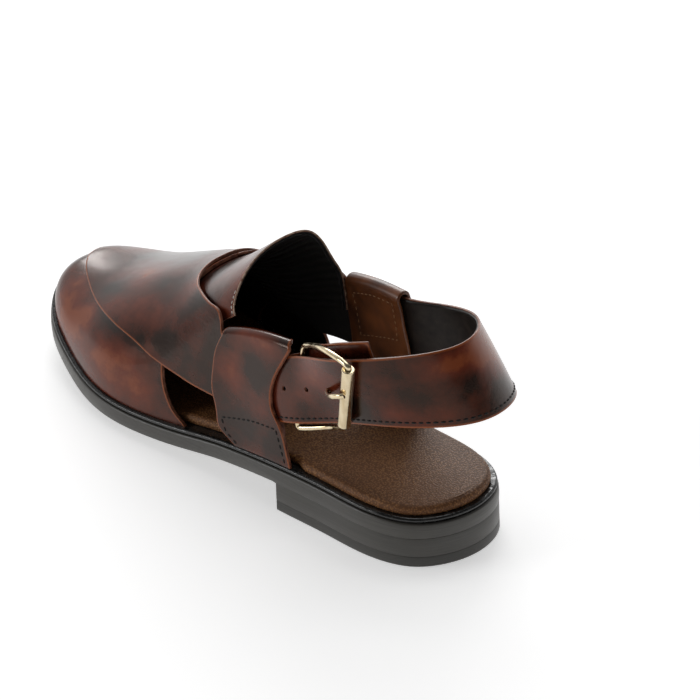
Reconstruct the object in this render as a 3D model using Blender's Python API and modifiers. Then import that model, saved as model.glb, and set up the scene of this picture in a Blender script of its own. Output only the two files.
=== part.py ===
"""Peshawari chappal, left shoe of a pair, standing empty on its sole.

Metres, +Z up, +Y towards the toe, +X towards the inner side of the foot.
The origin is on the floor under the middle of the heel.
Every panel lies on one last surface, at its own depth in the stack of leathers.
"""
import math

import bmesh
import bpy
import numpy as np
from mathutils import Vector

# Driving sizes of the sole
SOLE_LENGTH = 0.2958
BALL_WIDTH = 0.101
HEEL_SEAT_HEIGHT = 0.023
BALL_EDGE_HEIGHT = 0.011
TOE_SPRING = 0.012
SOLE_EDGE = 0.0078
SOLE_BELLY = 0.0042
HEEL_LENGTH = 0.090
HEEL_CENTRE = 0.035
LIFT_THICKNESS = 0.0055
BREAST_HOLLOW = 0.004
MIDSOLE_THICKNESS = 0.0022
MIDSOLE_INSET = 0.0007
INSOLE_THICKNESS = 0.0042
INSOLE_ROUND = 0.0022
INSOLE_INSET = 0.0100

# Driving sizes of the last and of the leather
INSTEP_HEIGHT = 0.0945
FEATHER_INSET = 0.004
LEATHER = 0.0016
CAP_SINK = 0.0005
CAP_LEATHER = 0.0019
TONGUE_LEATHER = 0.0016
GAP = 0.0003

# Driving sizes of the straps and of the buckle
STRAP_WIDTH = 0.038
STRAP_LEATHER = 0.0018
STRAP_CUP = 0.0003
STRAP_BACK_HEIGHT = 0.1055
SIDE_STRAP_LEATHER = 0.0018
OUTER_STRAP_TOP = 33.0
INNER_STRAP_TOP = 36.0
TAB_LEATHER = 0.0012
TAB_ABOVE = 0.006
TAB_BELOW = 0.003
TAB_TUCKED = 0.016
TAB_LENGTH = 0.0665
TAB_WIDENS = 0.007
TAB_WIDE = 0.017
TAB_FREE = 0.003
ROLLER_FROM_LOOP = 0.0525
HINGE_FROM_LOOP = 0.0125
ROLLER_LEAN = -0.0068
WIRE_RADIUS = 0.0013
ROLLER_RADIUS = 0.0031
ROLLER_LENGTH = 0.0370
ARM_SPREAD = 0.0209
ARM_BOW = 0.0042
ARM_CORNER = 0.0045
ARM_RISE = 2.2
PRONG_RADIUS = 0.0012
PRONG_CLIMB = 0.0040
HOLE_RADIUS = 0.0021
HOLE_PITCH = 0.016
FIRST_HOLE = 0.0152
HOLE_COUNT = 3

# Sole stations from the back of the heel: shares of the length and of the ball width,
# then how much of the heel's rise, of the toe spring and of the belly each one has
SOLE_COLUMNS = ("along", "centre", "half", "rise", "spring", "belly")
SOLE_ROWS = (
    (0.000, 0.006, 0.000, 1.00, 0.00, 0.0),
    (0.022, 0.005, 0.211, 1.00, 0.00, 0.0),
    (0.063, 0.005, 0.307, 1.00, 0.00, 0.0),
    (0.101, 0.002, 0.341, 1.00, 0.00, 0.0),
    (0.203, -0.020, 0.354, 1.00, 0.00, 0.0),
    (0.318, -0.042, 0.369, 0.91, 0.00, 0.1),
    (0.396, -0.046, 0.377, 0.68, 0.00, 0.2),
    (0.453, -0.046, 0.393, 0.50, 0.00, 0.5),
    (0.531, -0.045, 0.430, 0.22, 0.00, 0.8),
    (0.592, -0.042, 0.463, 0.08, 0.00, 1.0),
    (0.703, -0.030, 0.500, 0.00, 0.00, 1.0),
    (0.761, -0.018, 0.488, 0.00, 0.04, 1.0),
    (0.838, -0.002, 0.439, 0.00, 0.23, 0.9),
    (0.913, 0.004, 0.355, 0.00, 0.56, 0.6),
    (0.970, 0.003, 0.222, 0.00, 0.85, 0.4),
    (1.000, 0.000, 0.000, 0.00, 1.00, 0.3),
)

# How far the footbed stays inside the sole's edge, as shares of its largest inset
INSOLE_COLUMNS = ("along", "inset")
INSOLE_ROWS = (
    (0.00, 0.34), (0.20, 0.34), (0.250, 0.36), (0.272, 0.62), (0.40, 0.62),
    (0.47, 0.70), (0.60, 0.76), (0.80, 0.75), (0.90, 0.90), (1.00, 1.05),
)

# Last stations: shares of the length, of the instep height and of the ball
# width, fullness of the two sides, and insets as shares of the feather inset
LAST_COLUMNS = ("along", "height", "ridge", "outer_full", "inner_full", "outer_inset", "inner_inset")
LAST_ROWS = (
    (0.2640, 1.079, 0.023, 2.20, 2.40, 1.62, 0.70),
    (0.3380, 1.058, 0.040, 2.20, 2.40, 1.65, 0.70),
    (0.4226, 1.000, 0.064, 2.15, 2.35, 1.55, 0.70),
    (0.5070, 0.857, 0.087, 2.10, 2.30, 1.25, 0.85),
    (0.5920, 0.683, 0.098, 2.03, 2.35, 1.07, 0.95),
    (0.6760, 0.550, 0.094, 2.00, 2.40, 1.00, 1.00),
    (0.7610, 0.417, 0.070, 2.08, 2.40, 1.00, 1.00),
    (0.8380, 0.286, 0.042, 2.10, 2.30, 1.00, 1.00),
    (0.8960, 0.197, 0.025, 2.10, 2.20, 0.90, 1.00),
    (0.9400, 0.137, 0.013, 2.10, 2.15, 0.65, 0.72),
    (0.9700, 0.093, 0.005, 2.10, 2.12, 0.30, 0.32),
    (0.9888, 0.000, 0.000, 2.10, 2.10, 0.00, 0.00),
)

# Panel edges: the angle round the last in degrees, 0 at the outer side and 180 at the
# inner side, and the share of the length from the back of the heel
CAP_FRONT = (
    (9.4, 0.400), (11.0, 0.440), (15.0, 0.499), (20.0, 0.547), (26.0, 0.601), (33.0, 0.661),
    (39.0, 0.733), (45.0, 0.797), (54.0, 0.864), (70.0, 0.935), (84.0, 0.958), (110.0, 0.968),
    (180.0, 0.970),
)
CAP_REAR = (
    (31.4, 0.400), (31.8, 0.436), (33.0, 0.456), (38.5, 0.468), (43.0, 0.482), (48.0, 0.514),
    (56.0, 0.557), (63.0, 0.590), (72.0, 0.618), (84.0, 0.632), (100.0, 0.632), (115.0, 0.622),
    (130.0, 0.606), (150.0, 0.580), (158.0, 0.556), (164.0, 0.530), (169.5, 0.507), (175.0, 0.494),
    (180.0, 0.486),
)
BAND_REAR = (
    (0.0, 0.524), (5.0, 0.549), (10.0, 0.562), (16.0, 0.573), (23.0, 0.581), (50.0, 0.604),
    (66.0, 0.619), (80.0, 0.624), (92.0, 0.620), (100.0, 0.608), (109.0, 0.589), (118.0, 0.569),
    (126.0, 0.546), (132.5, 0.512), (136.5, 0.470), (139.0, 0.434), (141.5, 0.416), (144.6, 0.404),
    (145.4, 0.382), (180.0, 0.380),
)
BAND_FRONT = (
    (172.0, 0.366), (169.5, 0.392), (168.0, 0.420), (167.5, 0.460), (167.3, 0.506), (165.0, 0.560),
    (164.0, 0.640), (168.0, 0.690), (181.0, 0.725),
)
COLLAR_EDGE = (
    (40.0, 0.452), (44.0, 0.462), (55.0, 0.471), (68.0, 0.476), (80.0, 0.472), (90.0, 0.458),
    (97.0, 0.446), (106.0, 0.439), (118.5, 0.434), (128.0, 0.430), (133.5, 0.424), (137.5, 0.416),
    (141.0, 0.412), (148.0, 0.413), (156.0, 0.415),
)
TONGUE_FRONT = (
    (29.0, 0.675), (90.0, 0.700), (157.0, 0.675),
)

# Side strap edges: the angle up from the sole and the share of the length
OUTER_STRAP_FRONT = (
    (0.0, 0.404), (3.0, 0.435), (8.0, 0.446), (15.0, 0.457), (22.0, 0.459), (29.0, 0.457),
    (33.0, 0.449),
)
OUTER_STRAP_REAR = (
    (0.0, 0.276), (4.0, 0.284), (9.0, 0.296), (13.0, 0.314), (17.0, 0.320), (23.0, 0.314),
    (29.0, 0.298), (33.0, 0.288),
)
INNER_STRAP_FRONT = (
    (0.0, 0.398), (8.0, 0.402), (14.0, 0.404), (19.0, 0.405), (25.0, 0.406), (33.0, 0.402),
    (36.0, 0.401),
)
INNER_STRAP_REAR = (
    (0.0, 0.262), (8.0, 0.256), (17.0, 0.256), (21.0, 0.258), (26.0, 0.262), (33.0, 0.262),
    (36.0, 0.264),
)

# The two walls of a side strap close under the heel strap over these angles, and the outer
# strap's inner wall is cut back at its rear, as a share of the length, to clear the tab
FOOT_CLOSES = (1.0, 7.0)
INNER_WALL_CUT_BACK = 0.022

# Top edge of the heel strap, clear of the side straps: shares of the ball width, of the
# sole's length, of the strap's height at the back and of its width, then how far it leans
HEEL_STRAP_COLUMNS = ("across", "along", "height", "width", "lean_in", "lean_back")
HEEL_STRAP_ROWS = (
    (-0.340, 0.205, 0.870, 0.965, 0.147, 0.03),
    (-0.270, 0.108, 0.965, 0.96, 0.160, -0.13),
    (0.041, 0.038, 0.999, 1.00, 0.130, -0.34),
    (0.325, 0.105, 0.940, 1.00, 0.230, -0.38),
    (0.368, 0.208, 0.869, 0.97, 0.090, -0.24),
)

# Ends of the heel strap inside the loops, from each end: the share of the length and the
# angles of its two edges
STRAP_END_COLUMNS = ("along", "top_angle", "low_angle")
OUTER_END_ROWS = (
    (0.375, 26.6, 7.9),
    (0.310, 29.7, 10.1),
    (0.277, 31.7, 11.4),
)
INNER_END_ROWS = (
    (0.362, 33.0, 9.0),
    (0.310, 35.0, 10.5),
    (0.257, 36.2, 12.0),
)

# Depths of the leathers in the stack, outwards from the last
CAP_DEPTH = LEATHER - CAP_SINK
CAP_OUTER = CAP_DEPTH + CAP_LEATHER
TAB_OUTER = GAP + TAB_LEATHER
STRAP_INNER = TAB_OUTER + GAP
STRAP_OUTER = STRAP_INNER + STRAP_LEATHER
SIDE_OUTER_MIDDLE = max(STRAP_OUTER, CAP_OUTER) + GAP + SIDE_STRAP_LEATHER / 2
SIDE_INNER_MIDDLE = -GAP - SIDE_STRAP_LEATHER / 2

UPPER_TIP = SOLE_LENGTH * LAST_ROWS[-1][0]
TOE_START = SOLE_LENGTH * 0.81

PARTS = "peshawari_chappal"
FORMS = "cutting_forms"


def natural_spline(knots, values):
    """A smooth function through the values, straight at both ends."""
    x = np.asarray(knots, float)
    y = np.asarray(values, float)
    h = np.diff(x)
    count = len(x)
    system = np.eye(count)
    right = np.zeros(count)
    for i in range(1, count - 1):
        system[i, i - 1:i + 2] = h[i - 1], 2 * (h[i - 1] + h[i]), h[i]
        right[i] = 6 * ((y[i + 1] - y[i]) / h[i] - (y[i] - y[i - 1]) / h[i - 1])
    bend = np.linalg.solve(system, right)

    def value(at):
        at = np.asarray(at, float)
        i = np.clip(np.searchsorted(x, at) - 1, 0, count - 2)
        near = x[i + 1] - at
        far = at - x[i]
        curve = (bend[i] * near ** 3 + bend[i + 1] * far ** 3) / (6 * h[i])
        low = (y[i] / h[i] - bend[i] * h[i] / 6) * near
        high = (y[i + 1] / h[i] - bend[i + 1] * h[i] / 6) * far
        return curve + low + high

    return value


def steady_curve(knots, values):
    """A smooth function through the values that never swings past them."""
    x = np.asarray(knots, float)
    y = np.asarray(values, float)
    h = np.diff(x)
    rise = np.diff(y) / h
    slope = np.zeros(len(x))
    slope[0], slope[-1] = rise[0], rise[-1]
    for i in range(1, len(x) - 1):
        if rise[i - 1] * rise[i] > 0:
            slope[i] = 2 * rise[i - 1] * rise[i] / (rise[i - 1] + rise[i])

    def value(at):
        at = np.asarray(at, float)
        i = np.clip(np.searchsorted(x, at) - 1, 0, len(x) - 2)
        t = (at - x[i]) / h[i]
        start = (1 + 2 * t) * (1 - t) ** 2 * y[i] + t * (1 - t) ** 2 * h[i] * slope[i]
        end = t * t * (3 - 2 * t) * y[i + 1] - t * t * (1 - t) * h[i] * slope[i + 1]
        return start + end

    return value


def column(columns, rows, name):
    """One named column of a table, as numbers."""
    return np.array([row[columns.index(name)] for row in rows], float)


def table_curve(columns, rows, name, scale=1.0, power=1.0):
    """A smooth function of the distance from the back of the heel, from one column."""
    along = column(columns, rows, "along") * SOLE_LENGTH
    return natural_spline(along, (column(columns, rows, name) * scale) ** power)


sole_centre = table_curve(SOLE_COLUMNS, SOLE_ROWS, "centre", BALL_WIDTH)
sole_half_squared = table_curve(SOLE_COLUMNS, SOLE_ROWS, "half", BALL_WIDTH, 2)
sole_rise = table_curve(SOLE_COLUMNS, SOLE_ROWS, "rise")
sole_spring = table_curve(SOLE_COLUMNS, SOLE_ROWS, "spring")
sole_belly = table_curve(SOLE_COLUMNS, SOLE_ROWS, "belly")
last_height_squared = table_curve(LAST_COLUMNS, LAST_ROWS, "height", INSTEP_HEIGHT, 2)
last_ridge = table_curve(LAST_COLUMNS, LAST_ROWS, "ridge", BALL_WIDTH)
outer_full = table_curve(LAST_COLUMNS, LAST_ROWS, "outer_full")
inner_full = table_curve(LAST_COLUMNS, LAST_ROWS, "inner_full")
outer_inset = table_curve(LAST_COLUMNS, LAST_ROWS, "outer_inset", FEATHER_INSET)
inner_inset = table_curve(LAST_COLUMNS, LAST_ROWS, "inner_inset", FEATHER_INSET)


def sole_half(along):
    """Half the width of the sole at a distance from the back of the heel."""
    return np.sqrt(np.maximum(sole_half_squared(along), 0.0))


def sole_top(along):
    """Height of the top edge of the outsole."""
    rise = HEEL_SEAT_HEIGHT - BALL_EDGE_HEIGHT
    return BALL_EDGE_HEIGHT + rise * sole_rise(along) + TOE_SPRING * sole_spring(along)


def over_sole(along):
    """The place on the sole that a place on the last stands over, as the last ends short of it."""
    stretch = np.clip((along - TOE_START) / (UPPER_TIP - TOE_START), 0.0, 1.0)
    return along + (SOLE_LENGTH - UPPER_TIP) * stretch


def feather_height(along):
    """Height at which the upper stands on the midsole."""
    return sole_top(over_sole(along)) + MIDSOLE_THICKNESS + 2 * GAP


def feather_edges(along):
    """The two sides of the last's bottom edge, which closes at the tip of the last."""
    half = sole_half(over_sole(along))
    middle = sole_centre(along)
    return middle - half + outer_inset(along), middle + half - inner_inset(along)


def last_point(along, around):
    """A point of the last: distance from the back of the heel, angle from the outer side."""
    along = np.asarray(along, float) + 0 * np.asarray(around, float)
    angle = np.radians(np.asarray(around, float) + 0 * along)
    inside = np.clip(angle, 0.0, math.pi)
    height = np.sqrt(np.maximum(last_height_squared(along), 0.0))
    outer, inner = feather_edges(along)
    ridge = np.clip(last_ridge(along), outer, inner)
    across = np.cos(inside)
    full = np.where(across > 0, outer_full(along), inner_full(along))
    side = np.where(across > 0, outer, inner)
    x = ridge + (side - ridge) * np.abs(across) ** (2 / full)
    z = feather_height(along) + height * np.sin(inside) ** (2 / full)
    below = np.abs(angle - inside) * height
    return np.stack([x, along - HEEL_CENTRE, z - below], -1)


def last_normal(along, around):
    """The outward direction of the last, from two short steps."""
    step = 0.0001
    turn = 0.1
    ahead = last_point(along + step, around) - last_point(along - step, around)
    low = np.clip(np.asarray(around, float) - turn, 0.0, 180.0 - 2 * turn)
    aside = last_point(along, low + 2 * turn) - last_point(along, low)
    normal = np.cross(aside, ahead)
    return normal / (np.linalg.norm(normal, axis=-1, keepdims=True) + 1e-12)


def on_last(along, around, depth):
    """A point at a depth outside the last."""
    return last_point(along, around) + last_normal(along, around) * depth


def edge_curve(rows, count):
    """Even points along a panel edge, as distances along and angles around."""
    angles = np.array([row[0] for row in rows])
    alongs = np.array([row[1] for row in rows]) * SOLE_LENGTH
    steps = np.hypot(np.diff(np.radians(angles)) * BALL_WIDTH / 3, np.diff(alongs))
    reach = np.concatenate([[0.0], np.cumsum(steps)])
    even = np.linspace(0.0, reach[-1], count)
    return steady_curve(reach, alongs)(even), steady_curve(reach, angles)(even)


def make_material(name, colour, roughness, metallic=0.0):
    """A plain material with the colour and shine of one sub-part."""
    material = bpy.data.materials.new(name)
    material.use_nodes = True
    shader = material.node_tree.nodes["Principled BSDF"]
    shader.inputs["Base Color"].default_value = (*colour, 1.0)
    shader.inputs["Roughness"].default_value = roughness
    shader.inputs["Metallic"].default_value = metallic
    material.diffuse_color = (*colour, 1.0)
    return material


def collection_named(name):
    """The collection of that name, made when it is first asked for."""
    if name not in bpy.data.collections:
        bpy.context.scene.collection.children.link(bpy.data.collections.new(name))
    return bpy.data.collections[name]


def add_object(name, data, material=None, group=PARTS):
    """Put a mesh or a curve in the scene as a named object."""
    item = bpy.data.objects.new(name, data)
    collection_named(group).objects.link(item)
    if material:
        data.materials.append(material)
    if group == FORMS:
        item.hide_render = True
        item.display_type = "WIRE"
    return item


def finish_mesh(shape, name):
    """Turn a bmesh into mesh data with its faces pointing out and smooth round sides."""
    bmesh.ops.remove_doubles(shape, verts=shape.verts, dist=0.00002)
    bmesh.ops.recalc_face_normals(shape, faces=shape.faces)
    mesh = bpy.data.meshes.new(name)
    shape.to_mesh(mesh)
    shape.free()
    mesh.shade_smooth()
    mesh.set_sharp_from_angle(angle=math.radians(35))
    return mesh


def sheet_mesh(name, grid):
    """An open sheet from rows of points."""
    shape = bmesh.new()
    rows = [[shape.verts.new(point) for point in row] for row in grid]
    for low, high in zip(rows, rows[1:]):
        for i in range(len(low) - 1):
            shape.faces.new((low[i], low[i + 1], high[i + 1], high[i]))
    bmesh.ops.remove_doubles(shape, verts=shape.verts, dist=0.00002)
    mesh = bpy.data.meshes.new(name)
    shape.to_mesh(mesh)
    shape.free()
    mesh.shade_smooth()
    mesh.set_sharp_from_angle(angle=math.radians(35))
    return mesh


def loft_mesh(name, rings):
    """A closed solid through rings of equally many points."""
    shape = bmesh.new()
    rows = [[shape.verts.new(point) for point in ring] for ring in rings]
    for low, high in zip(rows, rows[1:]):
        for i in range(len(low)):
            j = (i + 1) % len(low)
            shape.faces.new((low[i], low[j], high[j], high[i]))
    shape.faces.new(rows[0])
    shape.faces.new(rows[-1])
    return finish_mesh(shape, name)


def thicken(item, thickness):
    """Give an open sheet its wall, half on each side."""
    wall = item.modifiers.new("wall", "SOLIDIFY")
    wall.thickness = thickness
    wall.offset = 0.0
    wall.use_even_offset = True
    wall.use_quality_normals = True
    return item


def cut(item, cutter, operation="DIFFERENCE", solver="EXACT"):
    """Cut or join with another closed form."""
    knife = item.modifiers.new(operation.lower(), "BOOLEAN")
    knife.operation = operation
    knife.object = cutter
    knife.solver = solver
    return item


def ruled_panel(first, second, depth, count, across):
    """Points on the last between two edges, as a grid."""
    along_a, angle_a = edge_curve(first, count)
    along_b, angle_b = edge_curve(second, count)
    share = np.linspace(0.0, 1.0, across)[:, None]
    along = along_a * (1 - share) + along_b * share
    angle = angle_a * (1 - share) + angle_b * share
    return on_last(along, angle, depth)


def stations(start, end, count, round_start=False, round_end=False):
    """Distances between two places, closer together towards a rounded end."""
    t = np.linspace(0.0, 1.0, count)
    if round_start and round_end:
        t = (1 - np.cos(math.pi * t)) / 2
    elif round_start:
        t = 1 - np.cos(math.pi * t / 2)
    elif round_end:
        t = np.sin(math.pi * t / 2)
    return start + (end - start) * t


def plate_rings(places, inset, bottom, top, across=10, rounding=0.0):
    """Rings of a plate that follows the sole's outline, inset from its edge."""
    rings = []
    spread = -np.cos(np.linspace(0.0, math.pi, across + 1))
    for along in places:
        half = max(float(sole_half(along)) - inset(along), 0.0006)
        middle = float(sole_centre(along))
        under = [(u, bottom(along, u)) for u in spread]
        over = [(u, top(along, u)) for u in spread[::-1]]
        ring = [(middle + half * u, along - HEEL_CENTRE, z) for u, z in under]
        if rounding:
            soft = min(rounding, half * 0.5)
            height = over[0][1]
            corner = [(half, height - soft), (half - soft * 0.3, height - soft * 0.3)]
            ring += [(middle + w, along - HEEL_CENTRE, z) for w, z in corner]
            inner = 1.0 - soft / half
            ring += [(middle + half * u * inner, along - HEEL_CENTRE, z) for u, z in over]
            ring += [(middle - w, along - HEEL_CENTRE, z) for w, z in reversed(corner)]
        else:
            ring += [(middle + half * u, along - HEEL_CENTRE, z) for u, z in over]
        rings.append(ring)
    return rings


def sole_bottom(along, u):
    """Height of the outsole's underside, bellied between its edges and flat on the floor."""
    belly = SOLE_BELLY * float(sole_belly(along)) * (1 - abs(u) ** 3)
    return max(float(sole_top(along)) - SOLE_EDGE - belly, 0.0)


def make_outsole(material):
    """The leather outsole: heel seat, arched waist, tread and sprung toe."""
    places = stations(0.0002, SOLE_LENGTH - 0.0002, 34, True, True)
    rings = plate_rings(places, lambda s: 0.0, sole_bottom, lambda s, u: float(sole_top(s)), across=8)
    return add_object("outsole", loft_mesh("outsole", rings), material)


def make_midsole(material):
    """The thin dyed midsole whose edge shows as a dark line round the shoe."""
    trim = MIDSOLE_INSET + 0.0002
    places = stations(trim, SOLE_LENGTH - trim, 34, True, True)
    rings = plate_rings(
        places, lambda s: MIDSOLE_INSET,
        lambda s, u: float(sole_top(s)) + GAP,
        lambda s, u: float(sole_top(s)) + GAP + MIDSOLE_THICKNESS, across=4)
    return add_object("midsole", loft_mesh("midsole", rings), material)


def heel_rings(low, high, count):
    """Rings of a heel layer between two levels, with a hollowed breast."""
    places = stations(0.0002, HEEL_LENGTH, count, True)
    rings = plate_rings(places, lambda s: 0.0, low, high, across=6)
    full = []
    for along, ring in zip(places, rings):
        near_breast = max(0.0, (along - HEEL_LENGTH * 0.7) / (HEEL_LENGTH * 0.3))
        half = max(float(sole_half(along)), 0.0006)
        middle = float(sole_centre(along))
        bent = []
        for x, y, z in ring:
            u = (x - middle) / half
            bent.append((x, y - BREAST_HOLLOW * near_breast ** 2 * (1 - u * u), z))
        full.append(bent)
    return full


def make_heel(block_material, lift_material):
    """The stacked heel block and the lift under it."""
    levels = (
        lambda s, u: 0.0,
        lambda s, u: LIFT_THICKNESS,
        lambda s, u: LIFT_THICKNESS + GAP,
        lambda s, u: sole_bottom(s, u) - GAP,
    )
    lift = loft_mesh("heel_lift", heel_rings(levels[0], levels[1], 16))
    block = loft_mesh("heel_block", heel_rings(levels[2], levels[3], 16))
    add_object("heel_block", block, block_material)
    add_object("heel_lift", lift, lift_material)


def insole_inset(along):
    """How far the footbed stays inside the sole's edge."""
    places = column(INSOLE_COLUMNS, INSOLE_ROWS, "along") * SOLE_LENGTH
    insets = column(INSOLE_COLUMNS, INSOLE_ROWS, "inset") * INSOLE_INSET
    return float(np.interp(along, places, insets))


def make_insole(material):
    """The padded footbed with its rounded rim."""
    low = GAP * 2 + MIDSOLE_THICKNESS
    first = insole_inset(0.0) + GAP
    last = SOLE_LENGTH - insole_inset(SOLE_LENGTH) - LEATHER
    places = list(stations(first, last, 28, True, True))
    places = sorted(places + [SOLE_LENGTH * share for share, _ in INSOLE_ROWS[2:4]])
    rings = plate_rings(
        places, insole_inset,
        lambda s, u: float(sole_top(s)) + low,
        lambda s, u: float(sole_top(s)) + low + INSOLE_THICKNESS,
        across=4, rounding=INSOLE_ROUND)
    return add_object("insole", loft_mesh("insole", rings), material)


def make_upper(material):
    """The crossed panels: the band with the toe part, and the cap panel joined over it."""
    columns = 45
    rows = 15
    rear_along, rear_angle = edge_curve(BAND_REAR, columns)
    share = np.linspace(0.0, 1.0, rows)[:, None]
    share = np.sin(share * math.pi / 2) ** 1.2
    along = rear_along * (1 - share) + (UPPER_TIP - 0.00002) * share
    spread = np.linspace(0.0, 180.0, columns)
    angle = rear_angle * (1 - share) + spread * share
    band = add_object("upper", sheet_mesh("upper", on_last(along, angle, LEATHER / 2)), material)
    thicken(band, LEATHER)

    below = tuple((196.0, place) for place in np.linspace(0.352, 0.735, 8))
    opening = ruled_panel(BAND_FRONT, below, LEATHER / 2, 23, 7)
    window = add_object("inner_window", sheet_mesh("inner_window", opening), group=FORMS)
    thicken(window, LEATHER * 8)
    cut(band, window)

    cap = ruled_panel(CAP_FRONT, CAP_REAR, CAP_DEPTH + CAP_LEATHER / 2, 34, 9)
    cap_form = add_object("cap_panel", sheet_mesh("cap_panel", cap), group=FORMS)
    thicken(cap_form, CAP_LEATHER)
    cut(band, cap_form, "UNION", "MANIFOLD")
    return band


def make_tongue(material):
    """The throat piece under the bands, up to the collar."""
    middle = -GAP - TONGUE_LEATHER / 2
    panel = ruled_panel(COLLAR_EDGE, TONGUE_FRONT, middle, 24, 6)
    tongue = add_object("tongue", sheet_mesh("tongue", panel), material)
    return thicken(tongue, TONGUE_LEATHER)


def eased(value, start, end):
    """A share that goes smoothly from 0 to 1 between two values."""
    share = np.clip((np.asarray(value, float) - start) / (end - start), 0.0, 1.0)
    return share * share * (3 - 2 * share)


def inner_wall_depth(angle):
    """Depth of a side strap's inner wall, which closes on the outer wall at the foot."""
    closed = SIDE_OUTER_MIDDLE - SIDE_STRAP_LEATHER - GAP
    apart = eased(angle, *FOOT_CLOSES)
    return SIDE_INNER_MIDDLE * apart + closed * (1 - apart)


def side_strap_grid(inner_side):
    """Points of a strap that climbs the side, turns over at the top and comes down inside."""
    top_angle = INNER_STRAP_TOP if inner_side else OUTER_STRAP_TOP
    front_rows = INNER_STRAP_FRONT if inner_side else OUTER_STRAP_FRONT
    rear_rows = INNER_STRAP_REAR if inner_side else OUTER_STRAP_REAR
    cut_back = 0.0 if inner_side else INNER_WALL_CUT_BACK
    front = natural_spline([row[0] for row in front_rows], [row[1] for row in front_rows])
    rear = natural_spline([row[0] for row in rear_rows], [row[1] for row in rear_rows])
    foot = np.linspace(0.0, FOOT_CLOSES[1], 4)
    angles = np.concatenate([foot, np.linspace(FOOT_CLOSES[1], top_angle, 7)[1:]])
    share = np.linspace(0.0, 1.0, 7)

    def place_at(angle, inside):
        rear_edge = rear(angle) + cut_back * inside
        along = SOLE_LENGTH * (rear_edge * (1 - share) + front(angle) * share)
        return along, np.full(len(share), 180.0 - angle if inner_side else angle)

    grid = [on_last(*place_at(angle, 0.0), SIDE_OUTER_MIDDLE) for angle in angles]
    radius = (SIDE_OUTER_MIDDLE - SIDE_INNER_MIDDLE) / 2
    centre = (SIDE_OUTER_MIDDLE + SIDE_INNER_MIDDLE) / 2
    step = -1.0 if inner_side else 1.0
    for turn in np.linspace(0.0, 180.0, 7)[1:-1]:
        along, around = place_at(top_angle, turn / 180.0)
        up = last_point(along, around + step) - last_point(along, around)
        up /= np.linalg.norm(up, axis=-1, keepdims=True)
        out = last_normal(along, around)
        bend = math.radians(turn)
        middle = on_last(along, around, centre)
        grid.append(middle + radius * (out * math.cos(bend) + up * math.sin(bend)))
    grid += [on_last(*place_at(angle, 1.0), inner_wall_depth(angle)) for angle in angles[::-1]]
    return grid


def make_side_strap(name, inner_side, material):
    """One folded side strap."""
    strap = add_object(name, sheet_mesh(name, side_strap_grid(inner_side)), material)
    return thicken(strap, SIDE_STRAP_LEATHER)


def strap_edges():
    """Rows of the heel strap's top and low edges, from the outer loop round to the inner one."""
    middle = (STRAP_INNER + STRAP_OUTER) / 2
    top = []
    low = []
    for share, top_angle, low_angle in OUTER_END_ROWS:
        top.append(on_last(share * SOLE_LENGTH, top_angle, middle))
        low.append(on_last(share * SOLE_LENGTH, low_angle, middle))
    for across, along, height, width, lean_in, lean_back in HEEL_STRAP_ROWS:
        edge = np.array([across * BALL_WIDTH, along * SOLE_LENGTH - HEEL_CENTRE,
                         height * STRAP_BACK_HEIGHT])
        drop = np.array([lean_in, lean_back, -math.sqrt(1 - lean_in ** 2 - lean_back ** 2)])
        top.append(edge)
        low.append(edge + drop * STRAP_WIDTH * width)
    for share, top_angle, low_angle in reversed(INNER_END_ROWS):
        top.append(on_last(share * SOLE_LENGTH, 180.0 - top_angle, middle))
        low.append(on_last(share * SOLE_LENGTH, 180.0 - low_angle, middle))
    return np.array(top), np.array(low)


def path_spline(reach, points):
    """A smooth path through points at given distances."""
    parts = [natural_spline(reach, points[:, axis]) for axis in range(3)]
    return lambda at: np.stack([part(at) for part in parts], -1)


def strap_frame():
    """Functions for points on the heel strap's middle: share along, share down, depth outwards."""
    top, low = strap_edges()
    steps = np.linalg.norm(np.diff((top + low) / 2, axis=0), axis=1)
    reach = np.concatenate([[0.0], np.cumsum(steps)])
    length = reach[-1]
    top_path = path_spline(reach, top)
    low_path = path_spline(reach, low)

    def surface(share, down):
        down = down[..., None]
        return top_path(share * length) * (1 - down) + low_path(share * length) * down

    def point(share, down, depth=0.0):
        share = np.asarray(share, float)
        down = np.asarray(down, float)
        depth = np.asarray(depth, float)
        small = 0.002
        ahead = surface(share + small, down) - surface(share - small, down)
        aside = surface(share, down + small) - surface(share, down - small)
        normal = np.cross(aside, ahead)
        normal /= np.linalg.norm(normal, axis=-1, keepdims=True)
        cup = STRAP_CUP * 4 * np.clip(down, 0.0, 1.0) * (1 - np.clip(down, 0.0, 1.0))
        return surface(share, down) + normal * (depth + cup)[..., None]

    return point, length


strap_point, strap_length = strap_frame()
STRAP_TUCKED = SOLE_LENGTH * (OUTER_END_ROWS[0][0] - OUTER_END_ROWS[1][0])
MOUTH_SHARE = STRAP_TUCKED / strap_length
ROLLER_SHARE = MOUTH_SHARE + ROLLER_FROM_LOOP / strap_length
HINGE_SHARE = MOUTH_SHARE + HINGE_FROM_LOOP / strap_length
PRONG_DOWN = 0.485


def hole_shares():
    """Where the strap is punched, from the prong's hole towards the loop."""
    first = ROLLER_SHARE - FIRST_HOLE / strap_length
    return [first - i * HOLE_PITCH / strap_length for i in range(HOLE_COUNT)]


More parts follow.
